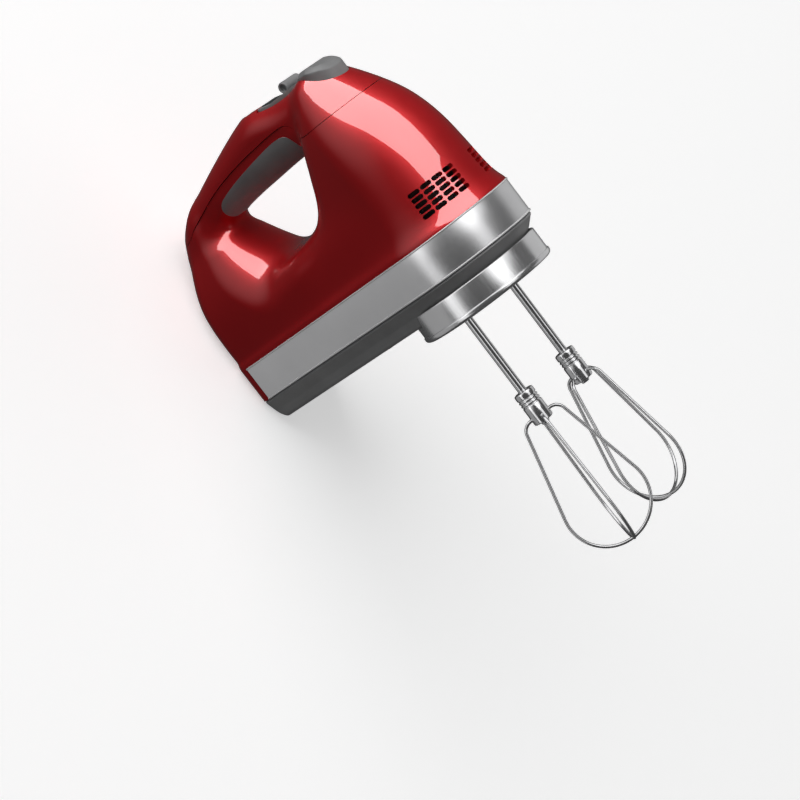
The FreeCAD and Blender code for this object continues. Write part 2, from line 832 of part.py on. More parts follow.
def build_motor_frame():
    """The can, magnets, bearings, front bracket and brushes."""
    rear, length = size("can_rear"), size("can_length")
    turned(
        "motor_can",
        [
            ("can_end_hole", "nothing"), ("can_radius", "nothing"),
            ("can_radius", "can_length"), ("can_inner_radius", "can_length"),
            ("can_inner_radius", "can_end"), ("can_end_hole", "can_end"),
        ],
        on_axis(rear), ALONG_X,
    )
    half = size("magnet_angle") / 2
    for name, middle in (("magnet_upper", 90), ("magnet_lower", 270)):
        shape = Part.makeCylinder(
            size("magnet_outer_radius"), size("magnet_length"), Vector(), Vector(0, 0, 1), 2 * half
        ).cut(Part.makeCylinder(size("magnet_inner_radius"), size("magnet_length")))
        shape.rotate(Vector(), Vector(0, 0, 1), middle + 90 - half)
        fixed(name, shape, on_axis(size("magnet_rear")), ALONG_X)
    for name, forward, length_name in (
        ("rear_bearing", size("can_rear"), "rear_bearing_length"),
        ("front_bearing", size("front_bearing_rear"), "front_bearing_length"),
        ("nose_bearing", size("nose_bearing_rear"), "nose_bearing_length"),
    ):
        tube(name, "bearing_radius", "bearing_bore_radius", length_name, on_axis(forward), ALONG_X)
    tube(
        "motor_bracket", "bracket_radius", "bearing_radius", "bracket_thickness",
        on_axis(rear + length), ALONG_X,
    )
    middle = size("commutator_rear") + size("commutator_length") / 2
    half_brush = size("brush_size") / 2
    inner = size("commutator_radius") + size("brush_gap")
    sleeve = half_brush + size("holder_wall")
    holders = []
    for name, side in (("brush_left", 1), ("brush_right", -1)):
        low, high = sorted((side * inner, side * size("brush_outer")))
        fixed(name, box(
            (middle - half_brush, low, AXIS_HEIGHT - half_brush),
            (middle + half_brush, high, AXIS_HEIGHT + half_brush),
        ))
        low, high = sorted((side * (inner + 2), side * 22.5))
        block = box(
            (middle - sleeve, low, AXIS_HEIGHT - sleeve),
            (middle + sleeve, high, AXIS_HEIGHT + sleeve),
        )
        holders.append(block.cut(box(
            (middle - half_brush, low, AXIS_HEIGHT - half_brush),
            (middle + half_brush, high, AXIS_HEIGHT + half_brush),
        )))
    fixed("brush_holder_left", holders[0])
    fixed("brush_holder_right", holders[1])


def build_armature():
    """Everything that turns with the motor's shaft."""
    tube("armature_shaft", "shaft_radius", None, "shaft_length", on_axis(size("shaft_rear")), ALONG_X)
    length = size("core_length")
    core = Part.makeCylinder(size("core_radius"), length)
    core = core.cut(Part.makeCylinder(size("shaft_radius"), length))
    depth, half = size("core_slot_depth"), size("core_slot_width") / 2
    slot = box((size("core_radius") - depth, -half, 0), (size("core_radius") + 1, half, length))
    slots = []
    for index in range(int(size("core_slots"))):
        copy = slot.copy()
        copy.rotate(Vector(), Vector(0, 0, 1), index * 360 / size("core_slots"))
        slots.append(copy)
    fixed("armature_core", core.cut(slots), on_axis(size("core_rear")), ALONG_X)
    for name, forward in (
        ("winding_rear", size("core_rear") - size("winding_length")),
        ("winding_front", size("core_rear") + length),
    ):
        tube(name, "winding_radius", "shaft_radius", "winding_length", on_axis(forward), ALONG_X)
    tube(
        "commutator", "commutator_radius", "shaft_radius", "commutator_length",
        on_axis(size("commutator_rear")), ALONG_X,
    )
    hub = Part.makeCylinder(size("fan_hub_radius"), size("fan_length"))
    blade = box(
        (size("fan_hub_radius") - 1, -size("fan_blade_thickness") / 2, 0),
        (size("fan_radius"), size("fan_blade_thickness") / 2, size("fan_length")),
    )
    blades = []
    for index in range(int(size("fan_blades"))):
        copy = blade.copy()
        copy.rotate(Vector(), Vector(0, 0, 1), index * 360 / size("fan_blades"))
        blades.append(copy)
    back = Part.makeCylinder(size("fan_radius"), 1.2)
    fan = hub.fuse(blades + [back]).cut(Part.makeCylinder(size("shaft_radius"), 20))
    fixed("cooling_fan", fan, on_axis(size("fan_rear")), ALONG_X)


def build_worm():
    """A single-start worm on the shaft's nose end."""
    pitch, length = TOOTH_PITCH, size("worm_length")
    turns = int((length - 3) / pitch)
    root, tip = size("worm_root_radius") - 0.3, size("worm_tip_radius")
    half = pitch / 4 - size("tooth_play")
    lean = math.tan(math.radians(20))

    def half_at(radius):
        return half - (radius - size("worm_pitch_radius")) * lean

    corners = [
        Vector(root, 0, -half_at(root)), Vector(tip, 0, -half_at(tip)),
        Vector(tip, 0, half_at(tip)), Vector(root, 0, half_at(root)),
    ]
    profile = Part.makePolygon(corners + corners[:1])
    path = Part.Wire(Part.makeHelix(pitch, turns * pitch, size("worm_root_radius")).Edges)
    thread = path.makePipeShell([profile], True, True)
    start = SPINDLE_X - pitch / 4 - round(turns / 2 - 0.5) * pitch
    rear = SPINDLE_X - length / 2
    core = Part.makeCylinder(size("worm_root_radius"), length, Vector(0, 0, rear - start))
    worm = core.fuse(thread)
    worm = worm.cut(Part.makeCylinder(size("shaft_radius"), 3 * length, Vector(0, 0, -length)))
    fixed("worm", worm, on_axis(start), ALONG_X)


# ---------------------------------------------------------------- gearbox


def wheel_outline(height, turn):
    """The worm wheel's toothed outline at a height, turned by an angle."""
    module, teeth = size("gear_module"), int(size("wheel_teeth"))
    pitch_radius = module * teeth / 2
    step = 2 * math.pi / teeth
    rings = (
        (pitch_radius - 1.25 * module, 0.36), (pitch_radius, 0.18),
        (pitch_radius + module - size("wheel_tip_relief"), 0.095),
    )
    points = []
    for tooth in range(teeth):
        middle = tooth * step + turn
        for radius, share in rings:
            points.append((radius, middle - share * step))
        for radius, share in reversed(rings):
            points.append((radius, middle + share * step))
    corners = [
        Vector(radius * math.cos(angle), radius * math.sin(angle), height)
        for radius, angle in points
    ]
    return Part.makePolygon(corners + corners[:1])


def build_gear_train():
    """Two worm wheels on hollow spindles, each turning in two bushes."""
    width = size("wheel_width")
    module, teeth = size("gear_module"), size("wheel_teeth")
    pitch_radius = module * teeth / 2
    lead = TOOTH_PITCH / (2 * math.pi * size("worm_pitch_radius"))
    step = 2 * math.pi / teeth
    for side_name, side in (("left", 1), ("right", -1)):
        facing = -side * math.pi / 2
        middle = facing + (step / 2 if side > 0 else 0)
        twist = lead * (width / 2) / pitch_radius
        low = wheel_outline(AXIS_HEIGHT - width / 2, middle - twist)
        high = wheel_outline(AXIS_HEIGHT + width / 2, middle + twist)
        wheel = Part.makeLoft([low, high], True, True)
        hub = rod(size("bush_radius"), AXIS_HEIGHT - width / 2 - 4, AXIS_HEIGHT + width / 2 + 4, (0, 0))
        wheel = wheel.fuse(hub).cut(rod(size("spindle_radius"), 0, 60, (0, 0)))
        place = (SPINDLE_X, side * SPINDLE_Y, 0)
        fixed("worm_wheel_" + side_name, wheel, place)
        turned(
            "spindle_" + side_name,
            [
                ("spindle_bore_radius", "spindle_bottom"), ("spindle_radius", "spindle_bottom"),
                ("spindle_radius", "spindle_top"), ("spindle_bore_radius", "spindle_top"),
            ],
            place,
        )
        for level, height, length in (
            ("lower", size("case_bottom"), "case_plate"),
            ("upper", size("cover_bottom"), "cover_plate"),
        ):
            tube(
                f"bush_{level}_{side_name}", "bush_radius", "bush_bore_radius", length,
                (SPINDLE_X, side * SPINDLE_Y, height),
            )


def build_gearbox():
    """The gear case: a plate with posts and a nose block, and its cover."""
    low = size("case_bottom")
    high = low + size("case_plate")
    plate = rod(33.6, low, high, (size("plate_centre"), 0))
    plate = plate.common(box((126, -40, 0), (200, 40, 20)))
    top = size("cover_bottom")
    posts = [rod(size("case_post_radius"), low, top, at) for at in CASE_POSTS]
    rear, length = size("nose_bearing_rear"), size("nose_bearing_length")
    block = box((rear, -9, low), (rear + length, 9, AXIS_HEIGHT + 9))
    block = block.cut(rod(size("bearing_radius"), rear - 1, rear + length + 1, (0, AXIS_HEIGHT), "x"))
    case = plate.fuse(posts + [block])
    for side in (1, -1):
        case = case.cut(rod(size("bush_radius"), 0, 20, (SPINDLE_X, side * SPINDLE_Y)))
    fixed("gear_case", largest(case.removeSplitter()))

    cover = rod(33, top, top + size("cover_plate"), (size("plate_centre"), 0))
    cover = cover.common(box((126, -30.5, 0), (190, 30.5, 60)))
    fan_room = size("fan_radius") + 1
    cover = cover.cut(box((120, -fan_room, 0), (size("fan_rear") + size("fan_length") + 2, fan_room, 60)))
    grille_room = sector(
        size("grille_inner_radius") - 0.4, 60, top - 1, top + 5,
        size("vent_start_angle") - 4, size("vent_sweep_angle") + 8,
    )
    cover = cover.cut([grille_room, mirrored(grille_room)])
    for side in (1, -1):
        place = (SPINDLE_X, side * SPINDLE_Y)
        cover = cover.fuse(rod(size("bush_radius") + 1.5, top, top + size("cover_plate"), place))
        cover = cover.cut(rod(size("bush_radius"), 0, 60, place))
    fixed("gear_cover", largest(cover))


# ---------------------------------------------------------------- beaters


def wire_loop(turn):
    """One closed loop of beater wire in an upright plane, turned about the axis."""
    neck, corner = size("loop_neck"), size("loop_corner")
    exit_height, bottom = size("loop_exit"), size("loop_bottom")
    radius = size("loop_radius")
    centre = Vector(0, 0, bottom + radius)

    # The straight leg is the common tangent of the elbow's arc and the bottom arc.
    elbow_centre = Vector(neck + 1.5 - corner, 0, exit_height - corner)
    gap = centre.sub(elbow_centre)
    distance = gap.Length
    heading = math.atan2(gap.z, gap.x)
    normal = heading + math.pi / 2 + math.asin((radius - corner) / distance)
    out = Vector(math.cos(normal), 0, math.sin(normal))
    leg_top = elbow_centre + out * corner
    leg_low = centre + out * radius
    elbow_top = elbow_centre + Vector(0, 0, corner)
    bend = (out + Vector(0, 0, 1)).normalize()
    elbow_middle = elbow_centre + bend * corner

    def other(point):
        return Vector(-point.x, point.y, point.z)

    start = Vector(3.2, 0, elbow_top.z)
    edges = [
        Part.LineSegment(start, elbow_top).toShape(),
        Part.Arc(elbow_top, elbow_middle, leg_top).toShape(),
        Part.LineSegment(leg_top, leg_low).toShape(),
        Part.Arc(leg_low, Vector(0, 0, bottom), other(leg_low)).toShape(),
        Part.LineSegment(other(leg_low), other(leg_top)).toShape(),
        Part.Arc(other(leg_top), other(elbow_middle), other(elbow_top)).toShape(),
        Part.LineSegment(other(elbow_top), other(start)).toShape(),
    ]
    profile = Part.Wire(Part.Circle(start, Vector(1, 0, 0), size("wire_radius")).toShape())
    loop = Part.Wire(edges).makePipeShell([profile], True, False)
    loop.rotate(Vector(), Vector(0, 0, 1), turn)
    return loop


def build_beaters():
    """Two beaters: a shaft, a grooved collar and two crossed wire loops each."""
    for side_name, side, phase in (("left", 1, 0), ("right", -1, 45)):
        place = (SPINDLE_X, side * SPINDLE_Y, 0)
        turned(
            "beater_shaft_" + side_name,
            [
                ("nothing", "collar_bottom"), ("beater_shaft_radius", "collar_bottom"),
                ("beater_shaft_radius", "beater_shaft_top"), ("nothing", "beater_shaft_top"),
            ],
            place,
        )
        top, bottom = size("collar_top"), size("collar_bottom")
        radius, groove = size("collar_radius"), size("collar_groove")
        collar = rod(radius, bottom, top, (0, 0))
        rims = [edge for edge in collar.Edges if len(edge.Vertexes) == 1]
        collar = collar.makeFillet(0.9, rims)
        for index in range(3):
            ring = Part.makeTorus(radius + 0.25, groove + 0.25, Vector(0, 0, top - 4.2 - 1.7 * index))
            collar = collar.cut(ring)
        collar = collar.cut(rod(size("beater_shaft_radius"), bottom - 1, top + 1, (0, 0)))
        loops = wire_loop(phase).fuse(wire_loop(phase + 90))
        loops = loops.cut(rod(size("beater_shaft_radius"), -100, 0, (0, 0)))
        collar = collar.cut(loops)
        fixed("beater_collar_" + side_name, largest(collar), place)
        fixed("beater_wires_" + side_name, largest(loops), place)


# ---------------------------------------------------------------- assembly

build_housing()
build_base()
build_beater_plate()
build_vent_grilles()
build_cord_gland()
build_ejector()
build_controls()
build_motor_frame()
build_armature()
build_worm()
build_gear_train()
build_gearbox()
build_beaters()
doc.recompute()


def export():
    """Check every piece, then write one file for each."""
    for item in doc.Objects:
        if "Invalid" in item.State or "Error" in item.State:
            raise SystemExit("failed to build " + item.Name)
    for item in doc.Objects:
        if item.TypeId not in ("PartDesign::Body", "Part::Feature"):
            continue
        if item.TypeId == "Part::Feature" and item.getParentGeoFeatureGroup():
            continue
        shape = item.Shape
        if shape.isNull() or not shape.isValid() or not shape.Solids:
            raise SystemExit("not a valid solid: " + item.Label)
        shape.exportStep(f"parts/{item.Label}.step")


export()
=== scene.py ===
"""The hand mixer's looks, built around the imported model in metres, in its own frame.

Shapes are worked out in the mixer's working attitude (millimetres: x forward from
the heel, y to the left, z up from the bottom of the base) and turned to the row frame,
where the mixer stands on its heel.
"""

import math

import bmesh
import bpy
import numpy as np
from mathutils import Matrix, Vector


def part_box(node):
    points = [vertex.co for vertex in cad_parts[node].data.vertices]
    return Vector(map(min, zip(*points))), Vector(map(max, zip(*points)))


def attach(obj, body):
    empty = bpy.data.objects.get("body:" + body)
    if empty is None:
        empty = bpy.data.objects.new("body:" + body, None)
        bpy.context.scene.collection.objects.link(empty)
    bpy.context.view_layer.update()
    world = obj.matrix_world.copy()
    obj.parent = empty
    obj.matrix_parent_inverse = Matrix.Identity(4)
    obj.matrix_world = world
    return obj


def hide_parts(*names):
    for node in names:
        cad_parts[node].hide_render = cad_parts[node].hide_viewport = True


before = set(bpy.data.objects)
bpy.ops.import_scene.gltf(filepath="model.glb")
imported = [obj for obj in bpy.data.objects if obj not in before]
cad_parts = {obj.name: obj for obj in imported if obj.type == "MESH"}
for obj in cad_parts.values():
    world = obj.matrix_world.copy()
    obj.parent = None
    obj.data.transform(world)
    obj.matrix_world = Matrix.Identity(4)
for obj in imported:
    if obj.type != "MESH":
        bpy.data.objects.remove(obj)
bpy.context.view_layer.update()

MM = 0.001
BASE_LOW, BASE_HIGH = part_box("base_cover")
BOTTOM = BASE_HIGH.x
MIDDLE = (BASE_LOW.y + BASE_HIGH.y) / 2


def row(x, y, z):
    """A point of the working attitude, in the row frame."""
    return Vector((BOTTOM - z * MM, MIDDLE + y * MM, x * MM))


def row_direction(x, y, z):
    """A direction of the working attitude, in the row frame."""
    return Vector((-z, y, x))


def row_array(points):
    """Many points of the working attitude, in the row frame."""
    return points[:, ::-1] * (-MM, MM, MM) + (BOTTOM, MIDDLE, 0)


def linked(name, data):
    """A new object of some data, in the scene."""
    piece = bpy.data.objects.new(name, data)
    bpy.context.scene.collection.objects.link(piece)
    return piece


def standing(place, across, above, back):
    """A place and three axes, as an object's matrix."""
    turn = Matrix((across, above, back)).transposed().to_4x4()
    return Matrix.Translation(place) @ turn


class Finish:
    """A procedural material, built node by node around one principled shader."""

    def __init__(self, name, color, roughness, metallic=0, **sockets):
        self.material = bpy.data.materials.new(name)
        self.material.use_nodes = True
        self.tree = self.material.node_tree
        self.shader = self.tree.nodes["Principled BSDF"]
        self.shader.inputs["Base Color"].default_value = (*color, 1)
        self.shader.inputs["Roughness"].default_value = roughness
        self.shader.inputs["Metallic"].default_value = metallic
        for socket, value in sockets.items():
            self.shader.inputs[socket.replace("_", " ")].default_value = value
        self.normal = None

    def node(self, kind, source, socket, **values):
        """A new node with one input linked from a source and others set."""
        node = self.tree.nodes.new("ShaderNode" + kind)
        for name, value in values.items():
            node.inputs[name.replace("_", " ")].default_value = value
        self.tree.links.new(source, node.inputs[socket])
        return node

    def noise(self, scale, detail=4, stretch=None):
        """A noise texture's value, in object coordinates stretched along the axes if asked."""
        source = self.tree.nodes.new("ShaderNodeTexCoord").outputs["Object"]
        if stretch:
            source = self.node("Mapping", source, "Vector", Scale=stretch).outputs["Vector"]
        node = self.node("TexNoise", source, "Vector", Scale=scale, Detail=detail)
        return node.outputs["Fac"]

    def vary_roughness(self, value, low, high):
        """Roughness that follows a texture, between two values."""
        node = self.node("MapRange", value, "Value", To_Min=low, To_Max=high)
        self.tree.links.new(node.outputs["Result"], self.shader.inputs["Roughness"])

    def vary_color(self, value, first, second, low=0.35, high=0.65):
        """A base colour that follows a texture, between two colours."""
        ramp = self.node("ValToRGB", value, "Fac")
        for element, position, color in zip(
                ramp.color_ramp.elements, (low, high), (first, second)):
            element.position = position
            element.color = (*color, 1)
        self.tree.links.new(ramp.outputs["Color"], self.shader.inputs["Base Color"])

    def bump(self, value, strength, distance):
        """A bump from a texture, on top of any earlier bump."""
        node = self.node("Bump", value, "Height", Strength=strength, Distance=distance)
        if self.normal:
            self.tree.links.new(self.normal, node.inputs["Normal"])
        self.normal = node.outputs["Normal"]
        self.tree.links.new(self.normal, self.shader.inputs["Normal"])


# ---- camera, floor, lights

# the camera, in millimetres and degrees of the working attitude
CAMERA_AIM = (85.6, -28.5, -26.9)
CAMERA_DISTANCE = 1231.5
CAMERA_AZIMUTH, CAMERA_ELEVATION, CAMERA_ROLL = 43.35, 4.84, 37.36
CAMERA_LENS, CAMERA_SENSOR = 100.97, 36

FLOOR_REACH = 4
FLOOR_WHITE = (0.93, 0.93, 0.93)
FLOOR_GLOW = 0.45

# where the lights turn about, in the working attitude (mm), and how far off they stand (m)
LIGHT_CENTRE = (110, 0, 60)
LIGHT_DISTANCE = 3
# far rectangular lights: name, bearing (azimuth and elevation in the row frame) and roll in
# degrees, spread as half-slopes, radiance, and whether gloss mirrors it or matte is lit by it
KEY = (191, 37.5), 85, (1.05, 0.58)
LIGHTS = (
    ("key_lacquer", *KEY, 11.5, "gloss"),
    ("key_metal", *KEY, 1.1, "gloss"),
    ("metal_heel", (-87, -55), 0, (0.8, 0.5), 0.3, "gloss"),
    ("metal_side", (-87, -9), 0, (0.7, 0.17), 1.1, "gloss"),
    ("metal_nose", (-87, 80), 0, (0.7, 0.2), 1.1, "gloss"),
    ("metal_front", (87, 12), 0, (0.8, 0.5), 0.5, "gloss"),
    ("key_soft", (185, 40), 85, (0.8, 0.6), 1.5, "matte"),
    ("side_fill", (60, 20), 0, (0.7, 0.7), 0.3, "matte"),
)

# the surround's strength to the camera and as a fill
SEEN_WORLD, DIFFUSE_WORLD = 0.95, 0.14
# the part of the surround that reflections see bright: its bearing, the cosines to it
# between which the glow rises, and the glow's strength at either end
BACKDROP_BEARING = (-137, -5)
BACKDROP_GLOW = {"From Min": 0.72, "From Max": 1.0, "To Min": 0.05, "To Max": 1.0}


def make_camera():
    """The camera, set by its bearing on the mixer in its working attitude."""
    back = direction(CAMERA_AZIMUTH - 90, CAMERA_ELEVATION)
    right = direction(CAMERA_AZIMUTH, 0)
    up = back.cross(right)
    roll = math.radians(CAMERA_ROLL)
    across = right * math.cos(roll) - up * math.sin(roll)
    above = right * math.sin(roll) + up * math.cos(roll)
    data = bpy.data.cameras.new("camera")
    data.lens = CAMERA_LENS
    data.sensor_width = CAMERA_SENSOR
    data.clip_end = 20
    camera = linked("camera", data)
    place = row(*(Vector(CAMERA_AIM) + back * CAMERA_DISTANCE))
    axes = [row_direction(*axis) for axis in (across, above, back)]
    camera.matrix_world = standing(place, *axes)
    bpy.context.scene.camera = camera


def make_floor():
    """A large pale floor."""
    mesh = bpy.data.meshes.new("floor")
    corners = [(-1, -1), (1, -1), (1, 1), (-1, 1)]
    mesh.from_pydata(
        [(x * FLOOR_REACH, y * FLOOR_REACH, 0) for x, y in corners], [], [(0, 1, 2, 3)])
    floor = linked("floor", mesh)
    finish = Finish("floor_white", FLOOR_WHITE, 0.9, Specular_IOR_Level=0,
                    Emission_Color=(1, 1, 1, 1), Emission_Strength=FLOOR_GLOW)
    mesh.materials.append(finish.material)
    floor.visible_glossy = False
    floor.visible_diffuse = False
    floor.visible_shadow = False


def direction(azimuth, elevation):
    """A unit vector, from its azimuth and elevation in degrees."""
    azimuth, elevation = math.radians(azimuth), math.radians(elevation)
    return Vector((
        math.cos(elevation) * math.cos(azimuth), math.cos(elevation) * math.sin(azimuth),
        math.sin(elevation),
    ))


def softbox(name, bearing, roll, spread, radiance, kind):
    """One of the far rectangular lights."""
    outward = direction(*bearing)
    across = Vector((0, 0, 1)).cross(outward).normalized()
    upward = outward.cross(across)
    turn = math.radians(roll)
    side = across * math.cos(turn) + upward * math.sin(turn)
    data = bpy.data.lights.new(name, "AREA")
    data.shape = "RECTANGLE"
    data.size, data.size_y = (2 * LIGHT_DISTANCE * half for half in spread)
    data.energy = radiance * math.pi * data.size * data.size_y
    light = linked(name, data)
    place = row(*LIGHT_CENTRE) + outward * LIGHT_DISTANCE
    light.matrix_world = standing(place, side, outward.cross(side), outward)
    light.visible_diffuse = kind == "matte"
    light.visible_glossy = kind == "gloss"
    light.visible_camera = False


def make_world():
    """A white surround: bright to the camera, dim as a fill, a one-sided glow in reflections."""
    world = bpy.data.worlds.new("studio")
    bpy.context.scene.world = world
    world.use_nodes = True
    tree = world.node_tree
    background = tree.nodes["Background"]
    rays = tree.nodes.new("ShaderNodeLightPath")
    facing = tree.nodes.new("ShaderNodeVectorMath")
    facing.operation = "DOT_PRODUCT"
    facing.inputs[1].default_value = direction(*BACKDROP_BEARING)
    place = tree.nodes.new("ShaderNodeTexCoord").outputs["Generated"]
    tree.links.new(place, facing.inputs[0])
    glow = tree.nodes.new("ShaderNodeMapRange")
    glow.interpolation_type = "SMOOTHSTEP"
    for socket, value in BACKDROP_GLOW.items():
        glow.inputs[socket].default_value = value
    tree.links.new(facing.outputs["Value"], glow.inputs["Value"])
    reflected, seen = (tree.nodes.new("ShaderNodeMix") for _ in range(2))
    for mix, ray in ((reflected, "Is Glossy Ray"), (seen, "Is Camera Ray")):
        mix.data_type = "FLOAT"
        tree.links.new(rays.outputs[ray], mix.inputs["Factor"])
    reflected.inputs["A"].default_value = DIFFUSE_WORLD
    tree.links.new(glow.outputs["Result"], reflected.inputs["B"])
    tree.links.new(reflected.outputs["Result"], seen.inputs["A"])
    seen.inputs["B"].default_value = SEEN_WORLD
    background.inputs["Color"].default_value = (1, 1, 1, 1)
    tree.links.new(seen.outputs["Result"], background.inputs["Strength"])


def make_lights():
    """The surround, and a strong key, a weak one, strips for the metal and two soft fills."""
    bpy.context.scene.view_settings.view_transform = "Standard"
    make_world()
    for light in LIGHTS:
        softbox(*light)


make_camera()
make_floor()
make_lights()

# ---- materials


def red_gloss():
    """Deep candy red under clear lacquer, with the faint ripple of moulded gloss."""
    finish = Finish(
        "red_gloss", (0.46, 0.008, 0.010), 0.36, 0.14,
        Coat_Weight=1.0, Coat_Roughness=0.01, Coat_IOR=1.38, Specular_IOR_Level=0.1,
    )
    finish.vary_color(finish.noise(9, 2), (0.44, 0.006, 0.009), (0.48, 0.009, 0.012))
    finish.vary_roughness(finish.noise(140, 3), 0.32, 0.4)
    finish.bump(finish.noise(55, 1), 0.012, 0.0003)
    return finish.material


def satin_steel(name, stretch, color=(0.62, 0.62, 0.63), roughness=0.27):
    """Satin metal, its fine texture drawn out along the axis whose scale is small."""
    finish = Finish(name, color, roughness, 0.88)
    lines = finish.noise(900, 3, stretch)
    finish.vary_roughness(lines, roughness - 0.05, roughness + 0.08)
    finish.bump(lines, 0.06, 0.0002)
    finish.vary_color(finish.noise(30, 3), tuple(0.94 * c for c in color), color)
    return finish.material


def polished_steel(name, color=(0.74, 0.74, 0.75), roughness=0.14, metallic=0.9):
    """Polished stainless steel with faint smears."""
    finish = Finish(name, color, roughness, metallic)
    finish.vary_roughness(finish.noise(220, 4), roughness - 0.04, roughness + 0.08)
    finish.vary_color(finish.noise(60, 2), tuple(0.9 * c for c in color), color)
    finish.bump(finish.noise(700, 2), 0.02, 0.0001)
    return finish.material


def moulded(name, color, roughness, coat=0):
    """Moulded plastic with a fine spark-eroded grain."""
    finish = Finish(name, color, roughness, Coat_Weight=coat)
    speckle = finish.noise(1600, 2)
    lighter = tuple(min(1, 1.16 * c + 0.002) for c in color)
    finish.vary_color(finish.noise(70, 4), color, lighter)
    finish.vary_roughness(speckle, roughness - 0.06, roughness + 0.08)
    finish.bump(speckle, 0.35, 0.00006)
    return finish.material


def soft_rubber(name, color):
    """Soft-touch rubber: matte, with a faint sheen and fine grain."""
    finish = Finish(name, color, 0.62, Sheen_Weight=0.12, Sheen_Roughness=0.4)
    finish.vary_color(finish.noise(50, 5), color, tuple(1.2 * c for c in color))
    finish.vary_roughness(finish.noise(400, 3), 0.55, 0.72)
    finish.bump(finish.noise(2400, 2), 0.4, 0.00008)
    return finish.material


RED = red_gloss()
BAND = satin_steel("trim_silver", (1, 1, 0.04), (0.78, 0.78, 0.79), 0.3)
PLATE = satin_steel("plate_silver", (0.05, 1, 1), (0.80, 0.80, 0.81), 0.22)
# painted highlight: the rims are near-white and barely metallic, so their matte colour shows as the
# bright line polished edges catch
RIM_PAINTED_HIGHLIGHT = polished_steel("rim_painted_highlight", (0.95, 0.95, 0.95), 0.2, 0.15)
STEEL = polished_steel("beater_polished")
BASE = moulded("base_grey", (0.27, 0.27, 0.273), 0.4)
CONTROL = moulded("control_mid_grey", (0.30, 0.30, 0.303), 0.34)
PANEL = moulded("panel_light_grey", (0.30, 0.31, 0.31), 0.38)
GRIP = soft_rubber("grip_soft", (0.20, 0.20, 0.203))
BLACK = moulded("vent_black_plastic", (0.006, 0.006, 0.006), 0.5)
RUBBER = soft_rubber("gland_black", (0.02, 0.02, 0.02))
SCREW = satin_steel("screw_zinc", (1, 1, 1), (0.5, 0.5, 0.5), 0.35)
NYLON = moulded("nylon_natural", (0.68, 0.66, 0.58), 0.45)
BOARD = moulded("board_resin", (0.02, 0.14, 0.05), 0.4)
WINDOW = moulded("window_smoked", (0.03, 0.034, 0.036), 0.15, coat=1.0)
COPPER = polished_steel("copper_wire", (0.72, 0.33, 0.16), 0.3)
BRONZE = polished_steel("bush_bronze_metal", (0.60, 0.42, 0.20), 0.35)
MAGNET = moulded("ferrite_dark", (0.04, 0.04, 0.045), 0.6)
CAST = satin_steel("cast_case", (1, 1, 1), (0.52, 0.52, 0.54), 0.45)

# each finish and the nodes that have it, where * stands for left and for right
NODE_FINISHES = {
    RED: "body_shell handle_cover",
    GRIP: "grip_insert",
    BAND: "trim_band",
    PLATE: "beater_plate",
    BASE: "base_cover",
    CONTROL: "ejector_button power_switch speed_button",
    PANEL: "control_panel",
    WINDOW: "display_window",
    BLACK: "vent_grille_* switch_block brush_* brush_holder_*",
    RUBBER: "cord_gland",
    SCREW: "base_screw_1 base_screw_2 base_screw_3 base_screw_4 ejector_spring "
           "speed_button_spring armature_shaft worm spindle_*",
    NYLON: "ejector_rod ejector_fork ejector_guide worm_wheel_* cooling_fan",
    BOARD: "control_board",
    COPPER: "winding_rear winding_front commutator",
    BRONZE: "bush_lower_* bush_upper_* rear_bearing front_bearing nose_bearing",
    MAGNET: "magnet_upper magnet_lower",
    CAST: "gear_case gear_cover motor_can motor_bracket armature_core",
    STEEL: "beater_shaft_* beater_collar_* beater_wires_*",
}


def finish_nodes():
    """Give every carried-over node its finish."""
    for material, names in NODE_FINISHES.items():
        for name in names.split():
            for side in ("left", "right") if "*" in name else ("",):
                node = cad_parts[name.replace("*", side)]
                node.data.materials.clear()
                node.data.materials.append(material)


finish_nodes()

# ---- the red housing's form

RED_OUTER, RED_INNER, RED_CUT = 0, 1, 2

# z, rear x, rear half width, rear corner, front circle's centre x and radius
REAR_FORM = [
    (10, 0, 32.6, 7, 160, 43), (36.6, 0, 32.6, 7, 160, 43),
    (38.4, 0, 32.5, 7, 159.9, 42.5), (40.8, 0.3, 31.6, 7.3, 160.4, 41.2),
    (46, 0, 31.8, 8, 160.8, 39.5), (54, 0, 32.2, 8.5, 161.2, 38.2), (64, 0, 32, 9, 161.6, 37.2),
    (76, 0, 30.3, 9.5, 161.4, 36.2), (88, 1.6, 26.6, 10.5, 160.4, 35),
    (96, 3.2, 23.2, 11, 159.4, 33.8), (105, 5.8, 19.4, 12, 157.6, 31.8),
    (113, 11, 16.6, 12, 155.4, 29.2), (121, 17, 14.5, 11, 153.2, 26.2),
    (128, 24, 12, 9, 151.4, 22.7), (136, 34, 10, 8, 149.2, 18.5),
    (142.5, 45, 8, 6, 147, 14.5), (152, 60, 6, 5, 145, 8),
]
# the same for the column in front of the finger hole, whose rear x and corner stay the same
FRONT_FORM = [(z, 60, half, 6, centre, radius) for z, half, centre, radius in (
    (10, 36.6, 160, 43), (36.6, 36.6, 160, 43), (38.4, 36.4, 159.9, 42.5),
    (40.8, 34.9, 160.4, 41.2), (46, 34.3, 160.8, 39.5), (54, 33.7, 161.2, 38.2),
    (64, 31.6, 161.6, 37.2), (70, 27.8, 161.5, 36.7), (76, 23.5, 161.4, 36.2),
    (88, 18.4, 160.4, 35), (105, 11.4, 157.6, 31.8), (118, 8, 154, 27.4), (128, 9, 151.4, 22.7),
    (136, 13, 149.2, 18.5), (142.5, 14.4, 147, 14.5), (152, 9, 145, 8),
)]
